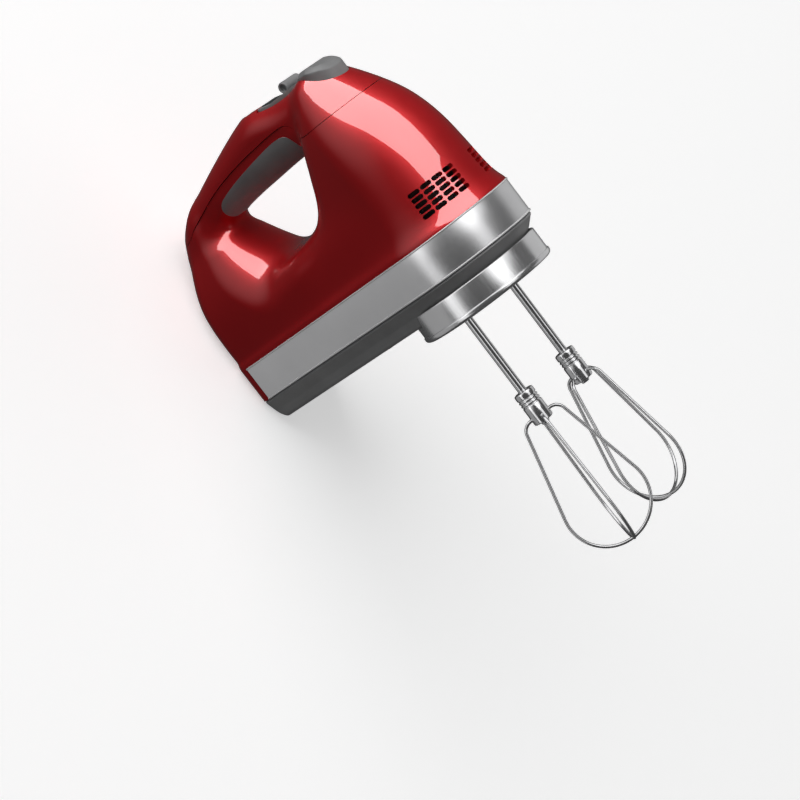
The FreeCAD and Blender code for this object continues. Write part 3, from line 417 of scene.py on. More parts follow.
# x, half width, underside, top, corner
HANDLE_FORM = [
    (5, 11, 100, 113, 5.5), (15, 13, 102, 119.5, 7), (29, 16.5, 104, 127.5, 11),
    (46, 17.5, 107, 133.5, 13), (62, 17.5, 108.5, 138.6, 14), (90, 17.5, 109.5, 146.2, 15),
    (103, 17.5, 110, 148.4, 14.5), (113, 17.5, 110, 146.2, 14), (125, 17.5, 110, 143.4, 14),
    (150, 17, 114, 142.2, 12), (160, 15, 116, 142, 11),
]
# the trench between post and column: a point on each wall, its normal into the trench,
# and how far the wall flares back at the sides (the floor's flare changes along it)
TRENCH_WALLS = [
    ((44, 103), (0.909, 0.417), 15), ((55.5, 85), (0.69, 0.724), 14),
    ((85, 74.4), (0, 1), None), ((111, 77.6), (-0.48, 0.877), 2),
    ((121.5, 94), (-0.918, 0.397), 2.5),
]
TRENCH_HALF = 30
WALL = 2.5


def smooth_table(rows, softness, step=0.5):
    """A function that reads a table's values, smoothed along its key."""
    rows = np.array(rows, float)
    keys, values = rows[:, 0], rows[:, 1:]
    steps = np.diff(keys)[:, None]
    slopes = np.diff(values, axis=0) / steps
    tangents = np.concatenate([slopes[:1], (slopes[1:] + slopes[:-1]) / 2, slopes[-1:]])
    tangents[1:-1][slopes[1:] * slopes[:-1] <= 0] = 0
    fine = np.arange(keys[0], keys[-1] + step / 2, step)
    at = np.clip(np.searchsorted(keys, fine, "right") - 1, 0, len(keys) - 2)
    t = ((fine - keys[at]) / np.diff(keys)[at])[:, None]
    span = steps[at]
    curve = (
        (2 * t**3 - 3 * t**2 + 1) * values[at] + (t**3 - 2 * t**2 + t) * span * tangents[at]
        + (3 * t**2 - 2 * t**3) * values[at + 1] + (t**3 - t**2) * span * tangents[at + 1]
    )
    reach = int(4 * softness / step)
    weights = np.exp(-0.5 * (np.arange(-reach, reach + 1) * step / softness) ** 2)
    weights /= weights.sum()
    padded = np.concatenate([
        2 * curve[:1] - curve[reach:0:-1], curve, 2 * curve[-1:] - curve[-2:-reach - 2:-1],
    ])
    soft = np.stack([np.convolve(column, weights, "valid") for column in padded.T])

    def read(where):
        return [np.interp(where, fine, column) for column in soft]

    return read


def blended(first, second, low, high):
    """Two table readers joined into one, from the first below low to the second above high."""
    def read(where):
        share = smoothstep(low, high, where)
        return [(1 - share) * a + share * b for a, b in zip(first(where), second(where))]
    return read


def smoothstep(low, high, value):
    """0 below low, 1 above high and smooth between."""
    t = np.clip((value - low) / (high - low), 0, 1)
    return t * t * (3 - 2 * t)


def smooth_min(a, b, reach):
    """The smaller of two fields, with a fillet where they meet."""
    h = np.maximum(reach - np.abs(a - b), 0) / reach
    return np.minimum(a, b) - h * h * reach / 4


def smooth_max(a, b, reach):
    """The larger of two fields, with a rounding where they meet."""
    return -smooth_min(-a, -b, reach)


def hull_distance(x, y, rear, half, corner, centre, radius):
    """Distance to the hull of two round rear corners and a front circle."""
    y = np.abs(y)
    back_x, back_y = rear + corner, half - corner
    dx, dy = centre - back_x, -back_y
    lean = np.arctan2(dy, dx) + np.arccos(np.clip((corner - radius) / np.hypot(dx, dy), -1, 1))

    def arc(cx, cy, r, low, high):
        vx, vy = x - cx, y - cy
        middle = (low + high) / 2
        angle = (np.arctan2(vy, vx) - middle + np.pi) % (2 * np.pi) - np.pi + middle
        angle = np.clip(angle, low, high)
        return vx * np.cos(angle) + vy * np.sin(angle) - r

    return np.maximum(
        arc(back_x, back_y, corner, lean, np.pi), arc(centre, 0, radius, 0, lean),
    )


def box_distance(u, v, half_u, half_v, corner):
    """Distance to a rounded rectangle."""
    qu, qv = np.abs(u) - half_u + corner, np.abs(v) - half_v + corner
    outside = np.hypot(np.maximum(qu, 0), np.maximum(qv, 0))
    return outside + np.minimum(np.maximum(qu, qv), 0) - corner


read_rear = blended(smooth_table(REAR_FORM, 0.9), smooth_table(REAR_FORM, 5), 42, 56)
read_front = blended(smooth_table(FRONT_FORM, 0.9), smooth_table(FRONT_FORM, 5), 42, 56)
read_handle = smooth_table(HANDLE_FORM, 5)


def trench(x, y, z):
    """The open space between post and column: negative inside."""
    side = np.abs(y) / TRENCH_HALF
    result = None
    for (px, pz), (nx, nz), flare in TRENCH_WALLS:
        if flare is None:
            back = side**2 * np.interp(x, (33, 112), (11, 2))
        else:
            back = flare * side**2.2
        wall = -(nx * (x - px) + nz * (z - pz) + back)
        result = wall if result is None else smooth_max(result, wall, 9)
    return result


def housing(x, y, z):
    """The housing's outer form: negative inside, zero on its surface, in millimetres."""
    share = smoothstep(80, 108, x)
    body = (1 - share) * hull_distance(x, y, *read_rear(z)) + share * hull_distance(
        x, y, *read_front(z))
    half, under, top, corner = read_handle(x)
    ceiling = top - 5 + (143.6 - top + 5) * smoothstep(104, 122, x)
    body = smooth_max(body, z - ceiling, 7)
    body = smooth_max(body, -trench(x, y, z), 11)
    grip = box_distance(y, z - (under + top) / 2, half, (top - under) / 2, corner)
    grip = smooth_max(grip, 9 - x, 8)
    grip = smooth_max(grip, x - 156, 6)
    reach = 11 - 7 * smoothstep(60, 112, x)
    whole = smooth_min(body, grip, reach)
    dish = 15.5 - np.sqrt((x - 107) ** 2 + y**2 + (z - 160.2) ** 2)
    return smooth_max(whole, dish, 1.6)


def gradient(field, points, step=0.4):
    """Unit gradients of a field at points."""
    result = np.empty_like(points)
    for axis in range(3):
        shift = np.zeros(3)
        shift[axis] = step
        result[:, axis] = (
            field(*(points + shift).T) - field(*(points - shift).T)) / (2 * step)
    return result


def settle(field, points, rounds=4):
    """Points moved onto a field's zero surface."""
    for _ in range(rounds):
        slope = gradient(field, points)
        size = np.maximum((slope**2).sum(1), 0.05)
        points = points - slope * (np.clip(field(*points.T), -1.5, 1.5) / size)[:, None]
    return points


def surface_net(field, low, high, spacing):
    """A quad mesh of a field's zero surface, as points and faces."""
    axes = [np.arange(a, b + spacing, spacing) for a, b in zip(low, high)]
    values = np.empty([len(axis) for axis in axes])
    y, z = np.meshgrid(axes[1], axes[2], indexing="ij")
    for i, x in enumerate(axes[0]):
        values[i] = field(np.full_like(y, x), y, z)
    inside = values < 0
    cells = np.array(values.shape) - 1
    total = np.zeros((*cells, 3))
    count = np.zeros(cells)
    ends = slice(0, -1), slice(1, None)
    for axis in range(3):
        others = [a for a in range(3) if a != axis]
        for first in (0, 1):
            for second in (0, 1):
                start, end = [None] * 3, [None] * 3
                start[axis], end[axis] = ends
                for a, side in zip(others, (first, second)):
                    start[a] = end[a] = ends[side]
                a, b = values[tuple(start)], values[tuple(end)]
                crossing = (a < 0) != (b < 0)
                t = np.where(crossing, a / np.where(crossing, a - b, 1), 0)
                total[..., axis] += t
                total[..., others[0]] += crossing * first
                total[..., others[1]] += crossing * second
                count += crossing
    used = count > 0
    index = np.full(cells, -1)
    index[used] = np.arange(used.sum())
    place = np.argwhere(used)
    points = (place + total[used] / count[used][:, None]) * spacing + np.array(
        [axis[0] for axis in axes])
    faces = []
    for axis in range(3):
        others = [a for a in range(3) if a != axis]
        before, after = [slice(1, -1)] * 3, [slice(1, -1)] * 3
        before[axis], after[axis] = ends
        a, b = inside[tuple(before)], inside[tuple(after)]
        edges = np.argwhere(a != b)
        offset = np.ones(3, int)
        offset[axis] = 0
        edges_at = edges + offset
        quad = []
        for du, dv in ((-1, -1), (0, -1), (0, 0), (-1, 0)):
            cell = edges_at.copy()
            cell[:, others[0]] += du
            cell[:, others[1]] += dv
            quad.append(index[tuple(cell.T)])
        quad = np.stack(quad, 1)
        flip = a[tuple(edges.T)] if axis != 1 else ~a[tuple(edges.T)]
        quad[~flip] = quad[~flip][:, ::-1]
        faces.append(quad)
    return points, np.concatenate(faces)


def new_piece(name, points, faces, materials, material_index=0):
    """A closed mesh of points given in the working attitude, its faces turned outward."""
    mesh = bpy.data.meshes.new(name)
    mesh.from_pydata(row_array(np.asarray(points, float)).tolist(), [],
                     [list(face) for face in faces])
    piece = linked(name, mesh)
    for material in materials:
        mesh.materials.append(material)
    mesh.polygons.foreach_set("material_index", [material_index] * len(mesh.polygons))
    mesh.update()
    work = bmesh.new()
    work.from_mesh(mesh)
    bmesh.ops.recalc_face_normals(work, faces=work.faces)
    work.to_mesh(mesh)
    work.free()
    return piece


def prism(first, second, material_index):
    """A closed prism between two like rings of points."""
    n = len(first)
    faces = [list(range(n)), list(range(2 * n - 1, n - 1, -1))]
    faces += [[i, i + n, (i + 1) % n + n, (i + 1) % n] for i in range(n)]
    return new_piece("cutter", first + second, faces, [], material_index)


def side_cutter(outline, half_width=70, material_index=RED_CUT):
    """A closed prism of a side outline (x, z), given either way round, across the width."""
    if sum(a[0] * b[1] - b[0] * a[1] for a, b in zip(outline, outline[1:] + outline[:1])) < 0:
        outline = outline[::-1]
    right, left = ([(x, y, z) for x, z in outline] for y in (-half_width, half_width))
    return prism(right, left, material_index)


def plan_cutter(outline, low, high, material_index=RED_CUT):
    """A closed prism of a plan outline, whose points start with x and y, between two heights."""
    bottom, top = ([(x, y, z) for x, y, *_ in outline] for z in (low, high))
    return prism(bottom, top, material_index)


def combine(piece, tool, operation="DIFFERENCE", keep=False):
    """A boolean of a piece with a tool, applied to the piece's mesh."""
    modifier = piece.modifiers.new("combine", "BOOLEAN")
    modifier.object = tool
    modifier.operation = operation
    modifier.solver = "MANIFOLD"
    modifier.material_mode = "INDEX"
    applied(piece)
    if not keep:
        bpy.data.objects.remove(tool)
    return piece


def joined(pieces):
    """Several pieces made into one."""
    work = bmesh.new()
    for piece in pieces:
        work.from_mesh(piece.data)
    work.to_mesh(pieces[0].data)
    work.free()
    for piece in pieces[1:]:
        bpy.data.objects.remove(piece)
    return pieces[0]


def rounded(points, loop=False):
    """An open line or a closed loop, with its corners cut until it is smooth."""
    points = [np.array(p, float) for p in points]
    for _ in range(3):
        cut = []
        for a, b in zip(points, points[1:] + (points[:1] if loop else [])):
            cut += [0.75 * a + 0.25 * b, 0.25 * a + 0.75 * b]
        points = cut if loop else [points[0], *cut, points[-1]]
    return [tuple(p) for p in points]


def values_of(items, name, width=1, kind=float):
    """One attribute of every item of a mesh, as an array."""
    values = np.empty(len(items) * width, kind)
    items.foreach_get(name, values)
    return values.reshape(-1, width) if width > 1 else values


def shade_by_field(piece, field, angle=32):
    """Smooth shading: the field's own normals on its surface, angle-split ones elsewhere."""
    mesh = smooth(piece, angle).data
    normals = values_of(mesh.corner_normals, "vector", 3)
    vertices = values_of(mesh.loops, "vertex_index", 1, int)
    places = values_of(mesh.vertices, "co", 3)
    kinds = np.repeat(values_of(mesh.polygons, "material_index", 1, int),
                      values_of(mesh.polygons, "loop_total", 1, int))
    slope = gradient(field, (places[:, ::-1] - (0, MIDDLE, BOTTOM)) * (1, 1, -1) / MM)
    slope /= np.maximum(np.linalg.norm(slope, axis=1), 1e-6)[:, None]
    turned = slope[:, ::-1] * (-1, 1, 1)
    outer = kinds == RED_OUTER
    normals[outer] = turned[vertices[outer]]
    mesh.normals_split_custom_set(normals.tolist())


def below(field, level):
    """A field closed off underneath at a height."""
    return lambda x, y, z: smooth_max(field(x, y, z), level - z, 1)


def solid_of(name, field, low, high, spacing, materials, kind=RED_OUTER):
    """A closed mesh of a field, its points settled on the field's surface."""
    points, faces = surface_net(field, low, high, spacing)
    return new_piece(name, settle(field, points), faces, materials, kind)


def plan_outline(rear, half, corner, centre, radius, grow=0, fine=3):
    """The plan outline of two round rear corners and a front circle, as points and normals."""
    run, rise = centre - rear - corner, corner - half
    lean = math.atan2(rise, run) + math.acos((corner - radius) / math.hypot(run, rise))
    points = []

    def arc(cx, cy, r, start, end):
        steps = max(2, int(abs(math.degrees(end - start)) / fine))
        for index in range(steps + 1):
            angle = start + (end - start) * index / steps
            points.append((
                cx + (r + grow) * math.cos(angle), cy + (r + grow) * math.sin(angle),
                math.cos(angle), math.sin(angle),
            ))

    arc(centre, 0, radius, -lean, lean)
    arc(rear + corner, half - corner, corner, lean, math.pi)
    arc(rear + corner, corner - half, corner, math.pi, 2 * math.pi - lean)
    return points


def lofted(name, rings, materials, kind=0):
    """A closed solid through rings of points, with capped ends."""
    n = len(rings[0])
    points = [point for ring in rings for point in ring]
    faces = [list(range(n)), list(range(len(points) - n, len(points)))]
    for level in range(len(rings) - 1):
        for i in range(n):
            j = (i + 1) % n
            faces.append([level * n + i, level * n + j, (level + 1) * n + j, (level + 1) * n + i])
    return new_piece(name, points, faces, materials, kind)


def swept(name, profile, path, materials):
    """A closed solid of a profile, given as (outward, up) pairs, along a plan path."""
    rings = [
        [(x + nx * out, y + ny * out, z) for out, z in profile] for x, y, nx, ny in path
    ]
    return lofted(name, rings, materials)


def lathed(name, profile, place, materials, around=96, kind=0):
    """A closed solid of a (radius, height) profile turned about an upright axis."""
    points, rings = [], []
    for radius, height in profile:
        if radius < 1e-6:
            rings.append([len(points)] * around)
            points.append((*place, height))
            continue
        rings.append(list(range(len(points), len(points) + around)))
        for index in range(around):
            angle = 2 * math.pi * index / around
            points.append((
                place[0] + radius * math.cos(angle), place[1] + radius * math.sin(angle), height))
    whole = profile[0][0] > 1e-6
    faces = []
    for level in range(len(rings) if whole else len(rings) - 1):
        first, second = rings[level], rings[(level + 1) % len(rings)]
        for i in range(around):
            j = (i + 1) % around
            face = [first[i], first[j], second[j], second[i]]
            face = list(dict.fromkeys(face))
            if len(face) > 2:
                faces.append(face)
    return new_piece(name, points, faces, materials, kind)


def wire(name, path, radius, materials, around=16, kind=0):
    """A closed round wire along a line of points."""
    path = np.array(path, float)
    heading = np.gradient(path, axis=0)
    heading /= np.linalg.norm(heading, axis=1)[:, None]
    side = np.cross(heading[0], (0.31, 0.52, 0.79))
    rings = []
    for at, along in zip(path, heading):
        side = side - along * (side @ along)
        side /= np.linalg.norm(side)
        other = np.cross(along, side)
        rings.append([
            tuple(at + radius * (side * math.cos(a) + other * math.sin(a)))
            for a in np.linspace(0, 2 * math.pi, around, endpoint=False)
        ])
    return lofted(name, rings, materials, kind)


def smooth(piece, angle):
    """Smooth shading, split where faces meet at more than an angle."""
    mesh = piece.data
    mesh.polygons.foreach_set("use_smooth", [True] * len(mesh.polygons))
    mesh.set_sharp_from_angle(angle=math.radians(angle))
    return piece


def bevelled(piece, width, segments, angle):
    """The piece with its sharp edges rounded."""
    modifier = piece.modifiers.new("bevel", "BEVEL")
    modifier.width = width * MM
    modifier.segments = segments
    modifier.limit_method = "ANGLE"
    modifier.angle_limit = math.radians(angle)
    return applied(piece)


def applied(piece):
    """The piece with its modifiers made part of its mesh."""
    depsgraph = bpy.context.evaluated_depsgraph_get()
    mesh = bpy.data.meshes.new_from_object(piece.evaluated_get(depsgraph))
    piece.modifiers.clear()
    old = piece.data
    piece.data = mesh
    mesh.name = old.name
    bpy.data.meshes.remove(old)
    return piece


def block(low, high, kind=RED_CUT):
    """A closed box between two corners."""
    (x0, y0, z0), (x1, y1, z1) = low, high
    return plan_cutter([(x0, y0), (x1, y0), (x1, y1), (x0, y1)], z0, z1, kind)


def place_piece(piece, body, nodes=""):
    """Let a piece ride on a body and stand for nodes, whose own meshes are hidden."""
    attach(piece, body)
    if nodes:
        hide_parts(*nodes.split())


# ---- the red housing's pieces

# the spacing and the box of the net that meshes the housing, and half the seams' width
NET = 1.4
NET_LOW, NET_HIGH = (-4, -46, 4), (208, 46, 153)
GAP = 0.16
COVER_LINE = rounded([
    (-10, 110), (20, 111.5), (31, 117.6), (68, 127.9), (125, 131), (133, 127.5),
    (134.6, 117.5), (160, 117.5), (215, 117.5),
])
GRIP_LINE = rounded([
    (50.5, 96), (50.8, 117), (70, 121.8), (95, 124.9), (119, 126.8), (127.5, 123.5),
    (127.4, 110), (120, 96),
], loop=True)
# how far cutters reach past the housing
PAST_REAR, PAST_FRONT, PAST_SIDE, PAST_TOP = -10, 215, 60, 160
# plans are rear x, half width, rear corner, front circle's centre x and radius
BAND_PLAN = (0, 32.6, 7, 160, 43)
BAND_END = 8.8
SHELL_LOW = 14.7
BUTTON_PLAN, BUTTON_GAP = (148.5, 11.2, 4.5, 158.8, 12.3), 0.35
STRIP_PLAN = (113.4, 10.3, 2.5, 142, 10)
SPEED_X, SPEED_OVAL = 106, (4.95, 6.55)
SWITCH_X, SWITCH_Z, SWITCH_TRAVEL = 136, 145.6, 4
SWITCH_SLOT = ((131.6, -4.4, 130), (143.2, 4.4, 150))
GLAND_Z, GLAND_RADIUS = 96, 5.6
GRIP_LOW, GRIP_SHARE = 91, 0.994
NOSE_X, NOSE_RADIUS = 160, 38
SLOT_FIRST, SLOT_PITCH, SLOT_HEIGHT, SLOT_ROWS = 44.9, 3.3, 2.55, 5
SLOT_START, SLOT_SWEEP, SLOT_CELLS, SLOT_RIB = 12.5, 45, 4, 0.7


def lower_form(x, y, z):
    """The lower housing, a little slimmer where it lines the grip."""
    lining = smoothstep(97, 105, z) * smoothstep(24, 36, x) * (1 - smoothstep(121, 131, x))
    return housing(x, y, z) + 0.75 * lining


def hollow_form(x, y, z):
    """The hollow inside the housing."""
    return housing(x, y, z) + WALL + 0.8


def handle_part(amount, rear, front):
    """The housing's form grown by an amount, between two places along the handle."""
    def field(x, y, z):
        part = np.maximum(housing(x, y, z) - amount, GRIP_LOW - z)
        return np.maximum(np.maximum(part, rear - x), x - front)
    return field


def slot_cutter(low, start, end):
    """A round-ended vent slot through the nose's wall, between two angles in degrees."""
    half = SLOT_HEIGHT / 2
    reach = math.degrees(half / NOSE_RADIUS)
    outline = []
    for first, middle in ((-math.pi / 2, end - reach), (math.pi / 2, start + reach)):
        for index in range(9):
            angle = first + math.pi * index / 8
            outline.append((middle + reach * math.cos(angle), low + half + half * math.sin(angle)))
    rings = []
    for radius in (NOSE_RADIUS - 10, NOSE_RADIUS + 14):
        rings.append([
            (NOSE_X + radius * math.cos(math.radians(a)), radius * math.sin(math.radians(a)), z)
            for a, z in outline
        ])
    return lofted("cutter", rings, [], RED_CUT)


def vent_cutters():
    """Every vent slot on both sides of the nose."""
    cell = SLOT_SWEEP / SLOT_CELLS
    rib = math.degrees(SLOT_RIB / NOSE_RADIUS) / 2
    for level in range(SLOT_ROWS):
        low = SLOT_FIRST + level * SLOT_PITCH
        for index in range(SLOT_CELLS):
            start = SLOT_START + index * cell + (rib if index else 0)
            end = SLOT_START + (index + 1) * cell - (rib if index < SLOT_CELLS - 1 else 0)
            yield slot_cutter(low, start, end)
            yield slot_cutter(low, -end, -start)


def band_room():
    """The space the trim band fills, as a cutter."""
    outer = plan_cutter(plan_outline(*BAND_PLAN, grow=4), 10, 36.25)
    core = plan_cutter(plan_outline(*BAND_PLAN, grow=-1.35), 5, 40)
    combine(outer, core)
    behind = block((PAST_REAR, -PAST_SIDE, 0), (BAND_END - 0.4, PAST_SIDE, 60))
    return combine(outer, behind)


def make_housing():
    """The upper cover, lower shell and grip, cut from the housing's form."""
    reds = [RED] * 3
    core = solid_of("core", below(hollow_form, 6), NET_LOW, NET_HIGH, NET, reds, RED_INNER)
    cover = solid_of("cover_red", below(housing, 98), (-4, -46, 92), NET_HIGH, NET, reds)
    lower = solid_of("shell_red", below(lower_form, 8), NET_LOW, NET_HIGH, NET, reds)
    low, high = (38, -36, 86), (142, 36, 153)
    grip = solid_of("grip_soft", handle_part(-0.35, 42, 138), low, high, 1.0, [GRIP] * 3)

    above = [(x, z + GAP) for x, z in COVER_LINE] + [(PAST_FRONT, 190), (PAST_REAR, 190)]
    under = [(x, z - GAP) for x, z in COVER_LINE] + [(PAST_FRONT, 0), (PAST_REAR, 0)]
    combine(cover, core, keep=True)
    combine(cover, side_cutter(above), "INTERSECT")
    combine(lower, core, keep=True)
    combine(lower, side_cutter(under), "INTERSECT")
    combine(lower, block((PAST_REAR, -PAST_SIDE, 0), (PAST_FRONT, PAST_SIDE, SHELL_LOW)))
    combine(lower, band_room())

    seat = side_cutter(GRIP_LINE)
    combine(seat, core, keep=True)
    combine(lower, seat)
    bpy.data.objects.remove(core)
    hold = solid_of("core", handle_part(-3.2, 41, 139), low, high, 1.0, reds, RED_INNER)
    centre = np.array(GRIP_LINE).mean(0)
    shrunk = [tuple(centre + (np.array(p) - centre) * GRIP_SHARE) for p in GRIP_LINE]
    combine(grip, hold)
    combine(grip, side_cutter(shrunk), "INTERSECT")

    combine(lower, joined(list(vent_cutters())))
    gland = [(x, 0, GLAND_Z) for x in (-5, 4, 12)]
    combine(lower, wire("cutter", gland, GLAND_RADIUS, [], 48, RED_CUT))

    combine(cover, plan_cutter(plan_outline(*BUTTON_PLAN, grow=BUTTON_GAP), 119, PAST_TOP))
    combine(cover, block((113, -10.6, 140.6), (147.7, 10.6, PAST_TOP)))
    combine(cover, oval_cutter())
    combine(cover, block(*SWITCH_SLOT))
    shade_by_field(cover, housing)
    shade_by_field(lower, lower_form)
    shade_by_field(grip, housing, 25)
    place_piece(cover, "housing", "handle_cover")
    place_piece(lower, "housing", "body_shell")
    place_piece(grip, "housing", "grip_insert")


def oval_cutter():
    """The hole for the speed button."""
    outline = [
        (SPEED_X + SPEED_OVAL[0] * math.cos(a), SPEED_OVAL[1] * math.sin(a))
        for a in np.linspace(0, 2 * math.pi, 64, endpoint=False)
    ]
    return plan_cutter(outline, 130, PAST_TOP)


# ---- band, base and plate

SPINDLES = {"left": (156, 23.6), "right": (156, -23.6)}
PLATE_X, PLATE_RADIUS, PLATE_BOTTOM = 157, 41.5, -10
SCREW_PLACES = [(16, 21), (16, -21), (108, 30.5), (108, -30.5)]


def band_path(rear):
    """The band's path in plan, from its right rear end round the nose to its left one."""
    half = [p for p in plan_outline(*BAND_PLAN, fine=1.5) if p[1] >= 0]
    left = [p for p in half if p[0] > rear]
    ahead, behind = left[-1], half[len(left)]
    share = (rear - behind[0]) / (ahead[0] - behind[0])
    left.append((rear, behind[1] + share * (ahead[1] - behind[1]), ahead[2], ahead[3]))
    right = [(x, -y, nx, -ny) for x, y, nx, ny in reversed(left)]
    return right + left[1:]


def make_band():
    """The metal band round the housing, with a rim along each edge whose near-white colour is a
    painted highlight.
    """
    path = band_path(BAND_END)
    face = [(-1.25, SHELL_LOW), (0, SHELL_LOW), (0.06, 14.9), (0.06, 35.9), (0, 36.05),
            (-1.25, 36.05)]
    band = smooth(swept("band", face, path, [BAND]), 40)
    place_piece(band, "housing", "trim_band")
    for name, low in (("band_rim_low", 14.55), ("band_rim_high", 35.15)):
        profile = [(-0.6, low), (0.28, low + 0.05), (0.5, low + 0.28), (0.55, low + 0.55),
                   (0.45, low + 0.82), (0.2, low + 1), (-0.6, low + 1)]
        # the rims' near-white colour is a painted highlight
        rim = smooth(swept(name, profile, path, [RIM_PAINTED_HIGHLIGHT]), 60)
        place_piece(rim, "housing")


def base_rings(levels, shrink=0):
    """Plan rings of the base at levels of (z, half width, front centre, front radius)."""
    rings = []
    for z, half, centre, radius in levels:
        outline = plan_outline(0, half, 7, centre, radius, grow=-shrink, fine=4)
        rings.append([(x, y, z) for x, y, _, _ in outline])
    return rings


def bore(piece, profile, place, around):
    """A turned hole cut into a piece."""
    combine(piece, lathed("cutter", profile, place, [], around, RED_CUT))


def make_base():
    """The dark tray under the housing."""
    levels = [
        (14.5, 31.3, 160, 41.6), (13.9, 32, 160, 42.3), (13.2, 32.2, 160, 42.5),
        (12.4, 31.9, 159.8, 41.9), (8.2, 30.3, 158, 39.2), (6.9, 29.8, 157.4, 38.3),
        (6, 29.5, 157.2, 37.7), (1.9, 28.9, 157, 36.9), (0.8, 28.5, 157, 36.5),
        (0.2, 27.8, 157, 35.8), (0, 27, 157, 35),
    ]
    base = lofted("base", base_rings(levels), [BASE] * 3)
    inside = [(20, 31.3, 160, 41.6), (13, 31.8, 160, 42), (6.4, 29.5, 157.2, 37.6),
              (2.5, 28.9, 157, 36.9)]
    hollow = lofted("cutter", base_rings(inside, 2.6), [], RED_CUT)
    heel = side_cutter([(-1, -1), (12.3, -1), (12.3, 2.5), (0, 13.6), (-1, 13.6)])
    combine(hollow, heel)
    combine(base, hollow)
    combine(base, side_cutter([(-1, -1), (8.3, -1), (8.3, 0), (0, 9.6), (-1, 10.76)]))
    for place in SPINDLES.values():
        bore(base, [(0, -1), (8.8, -1), (8.8, 4), (0, 4)], place, 64)
    for place in SCREW_PLACES:
        bore(base, [(0, -1), (3.1, -1), (3.1, 2.05), (1.6, 2.05), (1.6, 4), (0, 4)], place, 40)
    place_piece(smooth(bevelled(base, 0.35, 2, 50), 35), "housing", "base_cover")


def make_plate():
    """The round metal plate under the nose."""
    r, low = PLATE_RADIUS, PLATE_BOTTOM
    inner = r - 2
    profile = [
        (0, low + 0.9), (28, low + 0.9), (31, low + 0.35), (r - 3.4, low + 0.1), (r - 2.4, low),
        (r - 1.5, low + 0.15), (r - 0.7, low + 0.6), (r - 0.2, low + 1.2), (r, low + 2),
        (r, low + 3.1), (r - 0.15, low + 3.4), (r - 0.55, low + 3.6), (r - 0.6, low + 4),
        (r - 0.6, 5.6), (r - 0.75, 6.1), (r - 1.1, 6.4), (inner, 6.4), (inner, low + 2.4),
        (0, low + 2.4),
    ]
    plate = lathed("plate", profile, (PLATE_X, 0), [PLATE] * 3, 192)
    levels = [(16, 32.3, 160, 42.6), (6.4, 29.9, 157.2, 38.2), (-0.02, 29, 157, 37)]
    combine(plate, lofted("cutter", base_rings(levels), [], RED_CUT))
    for place in SPINDLES.values():
        boss = lathed("cutter", [
            (0, -0.1), (8.7, -0.1), (8.7, low + 1.6), (9.4, low + 1), (9.6, low + 0.6),
            (9.2, low + 0.2), (7.6, low + 0.05), (0, low + 0.05)], place, [], 96)
        combine(plate, boss, "UNION")
        bore(plate, [(0, low - 2), (6.2, low - 2), (6.2, 2), (0, 2)], place, 96)
    place_piece(smooth(plate, 35), "housing", "beater_plate")


# ---- beaters

# radius and height of the points round one groove of a collar
GROOVE = ((5.9, 0.75), (5.75, 0.5), (5.45, 0.28), (5.35, 0), (5.45, -0.28), (5.75, -0.5),
          (5.9, -0.75))
WIRE_RADIUS, WIRE_ROOM = 0.95, 1.1
WIRE_EXIT = -74.5


def loop_path(turn):
    """One wire loop of a beater: out of its collar, round the bottom and back."""
    neck, corner, bottom, radius = 12.5, 6, -157.4, 24.2
    centre = np.array([0, bottom + radius])
    elbow = np.array([neck - corner, WIRE_EXIT - corner])
    gap = centre - elbow
    normal = math.atan2(gap[1], gap[0]) + math.pi / 2 + math.asin(
        (radius - corner) / np.linalg.norm(gap))
    half = [(3.4, WIRE_EXIT), (4.8, WIRE_EXIT)]
    for middle, reach, angles in (
            (elbow, corner, np.linspace(math.pi / 2, normal, 14)),
            (centre, radius, np.linspace(normal, -math.pi / 2, 44))):
        for angle in angles:
            half.append(tuple(middle + reach * np.array([math.cos(angle), math.sin(angle)])))
    loop = half + [(-u, z) for u, z in reversed(half[:-1])]
    c, s = math.cos(math.radians(turn)), math.sin(math.radians(turn))
    fine = []
    for a, b in zip(loop, loop[1:]):
        parts = max(1, int(math.dist(a, b) / 3))
        fine += [tuple(np.array(a) + (np.array(b) - np.array(a)) * k / parts) for k in range(parts)]
    return [(u * c, u * s, z) for u, z in fine + [loop[-1]]]


def make_beater(name, phase):
    """A beater: shaft, grooved collar and two crossed loops of wire."""
    place = SPINDLES[name]
    shaft = [(0, 38), (1.9, 38), (2.5, 37.2), (2.5, -79.3), (2.1, -79.9), (0, -79.9)]
    shaft = smooth(lathed(f"shaft_{name}", shaft, place, [STEEL], 48), 40)
    place_piece(shaft, f"beater_{name}", f"beater_shaft_{name}")
    profile = [(2.55, -58.9), (5, -58.9), (5.6, -59.15), (5.9, -59.8)]
    for index in range(3):
        middle = -62.9 - 1.9 * index
        profile += [(radius, middle + up) for radius, up in GROOVE]
    profile += [(5.9, -77.1), (5.7, -77.8), (5.2, -78.2), (2.55, -78.3)]
    collar = lathed(f"collar_{name}", profile, place, [STEEL] * 3, 64)
    for turn in (0, 180, 90, 270):
        angle = math.radians(phase + turn)
        start = [(place[0] + u * math.cos(angle), place[1] + u * math.sin(angle), WIRE_EXIT)
                 for u in (2, 5, 8)]
        combine(collar, wire("cutter", start, WIRE_ROOM, [], 24))
    place_piece(smooth(collar, 32), f"beater_{name}", f"beater_collar_{name}")
    loops = []
    for turn in (phase, phase + 90):
        path = [(x + place[0], y + place[1], z) for x, y, z in loop_path(turn)]
        loops.append(wire(f"wires_{name}", path, WIRE_RADIUS, [STEEL]))
    combine(loops[0], loops[1], "UNION")
    place_piece(smooth(loops[0], 60), f"beater_{name}", f"beater_wires_{name}")


# ---- controls


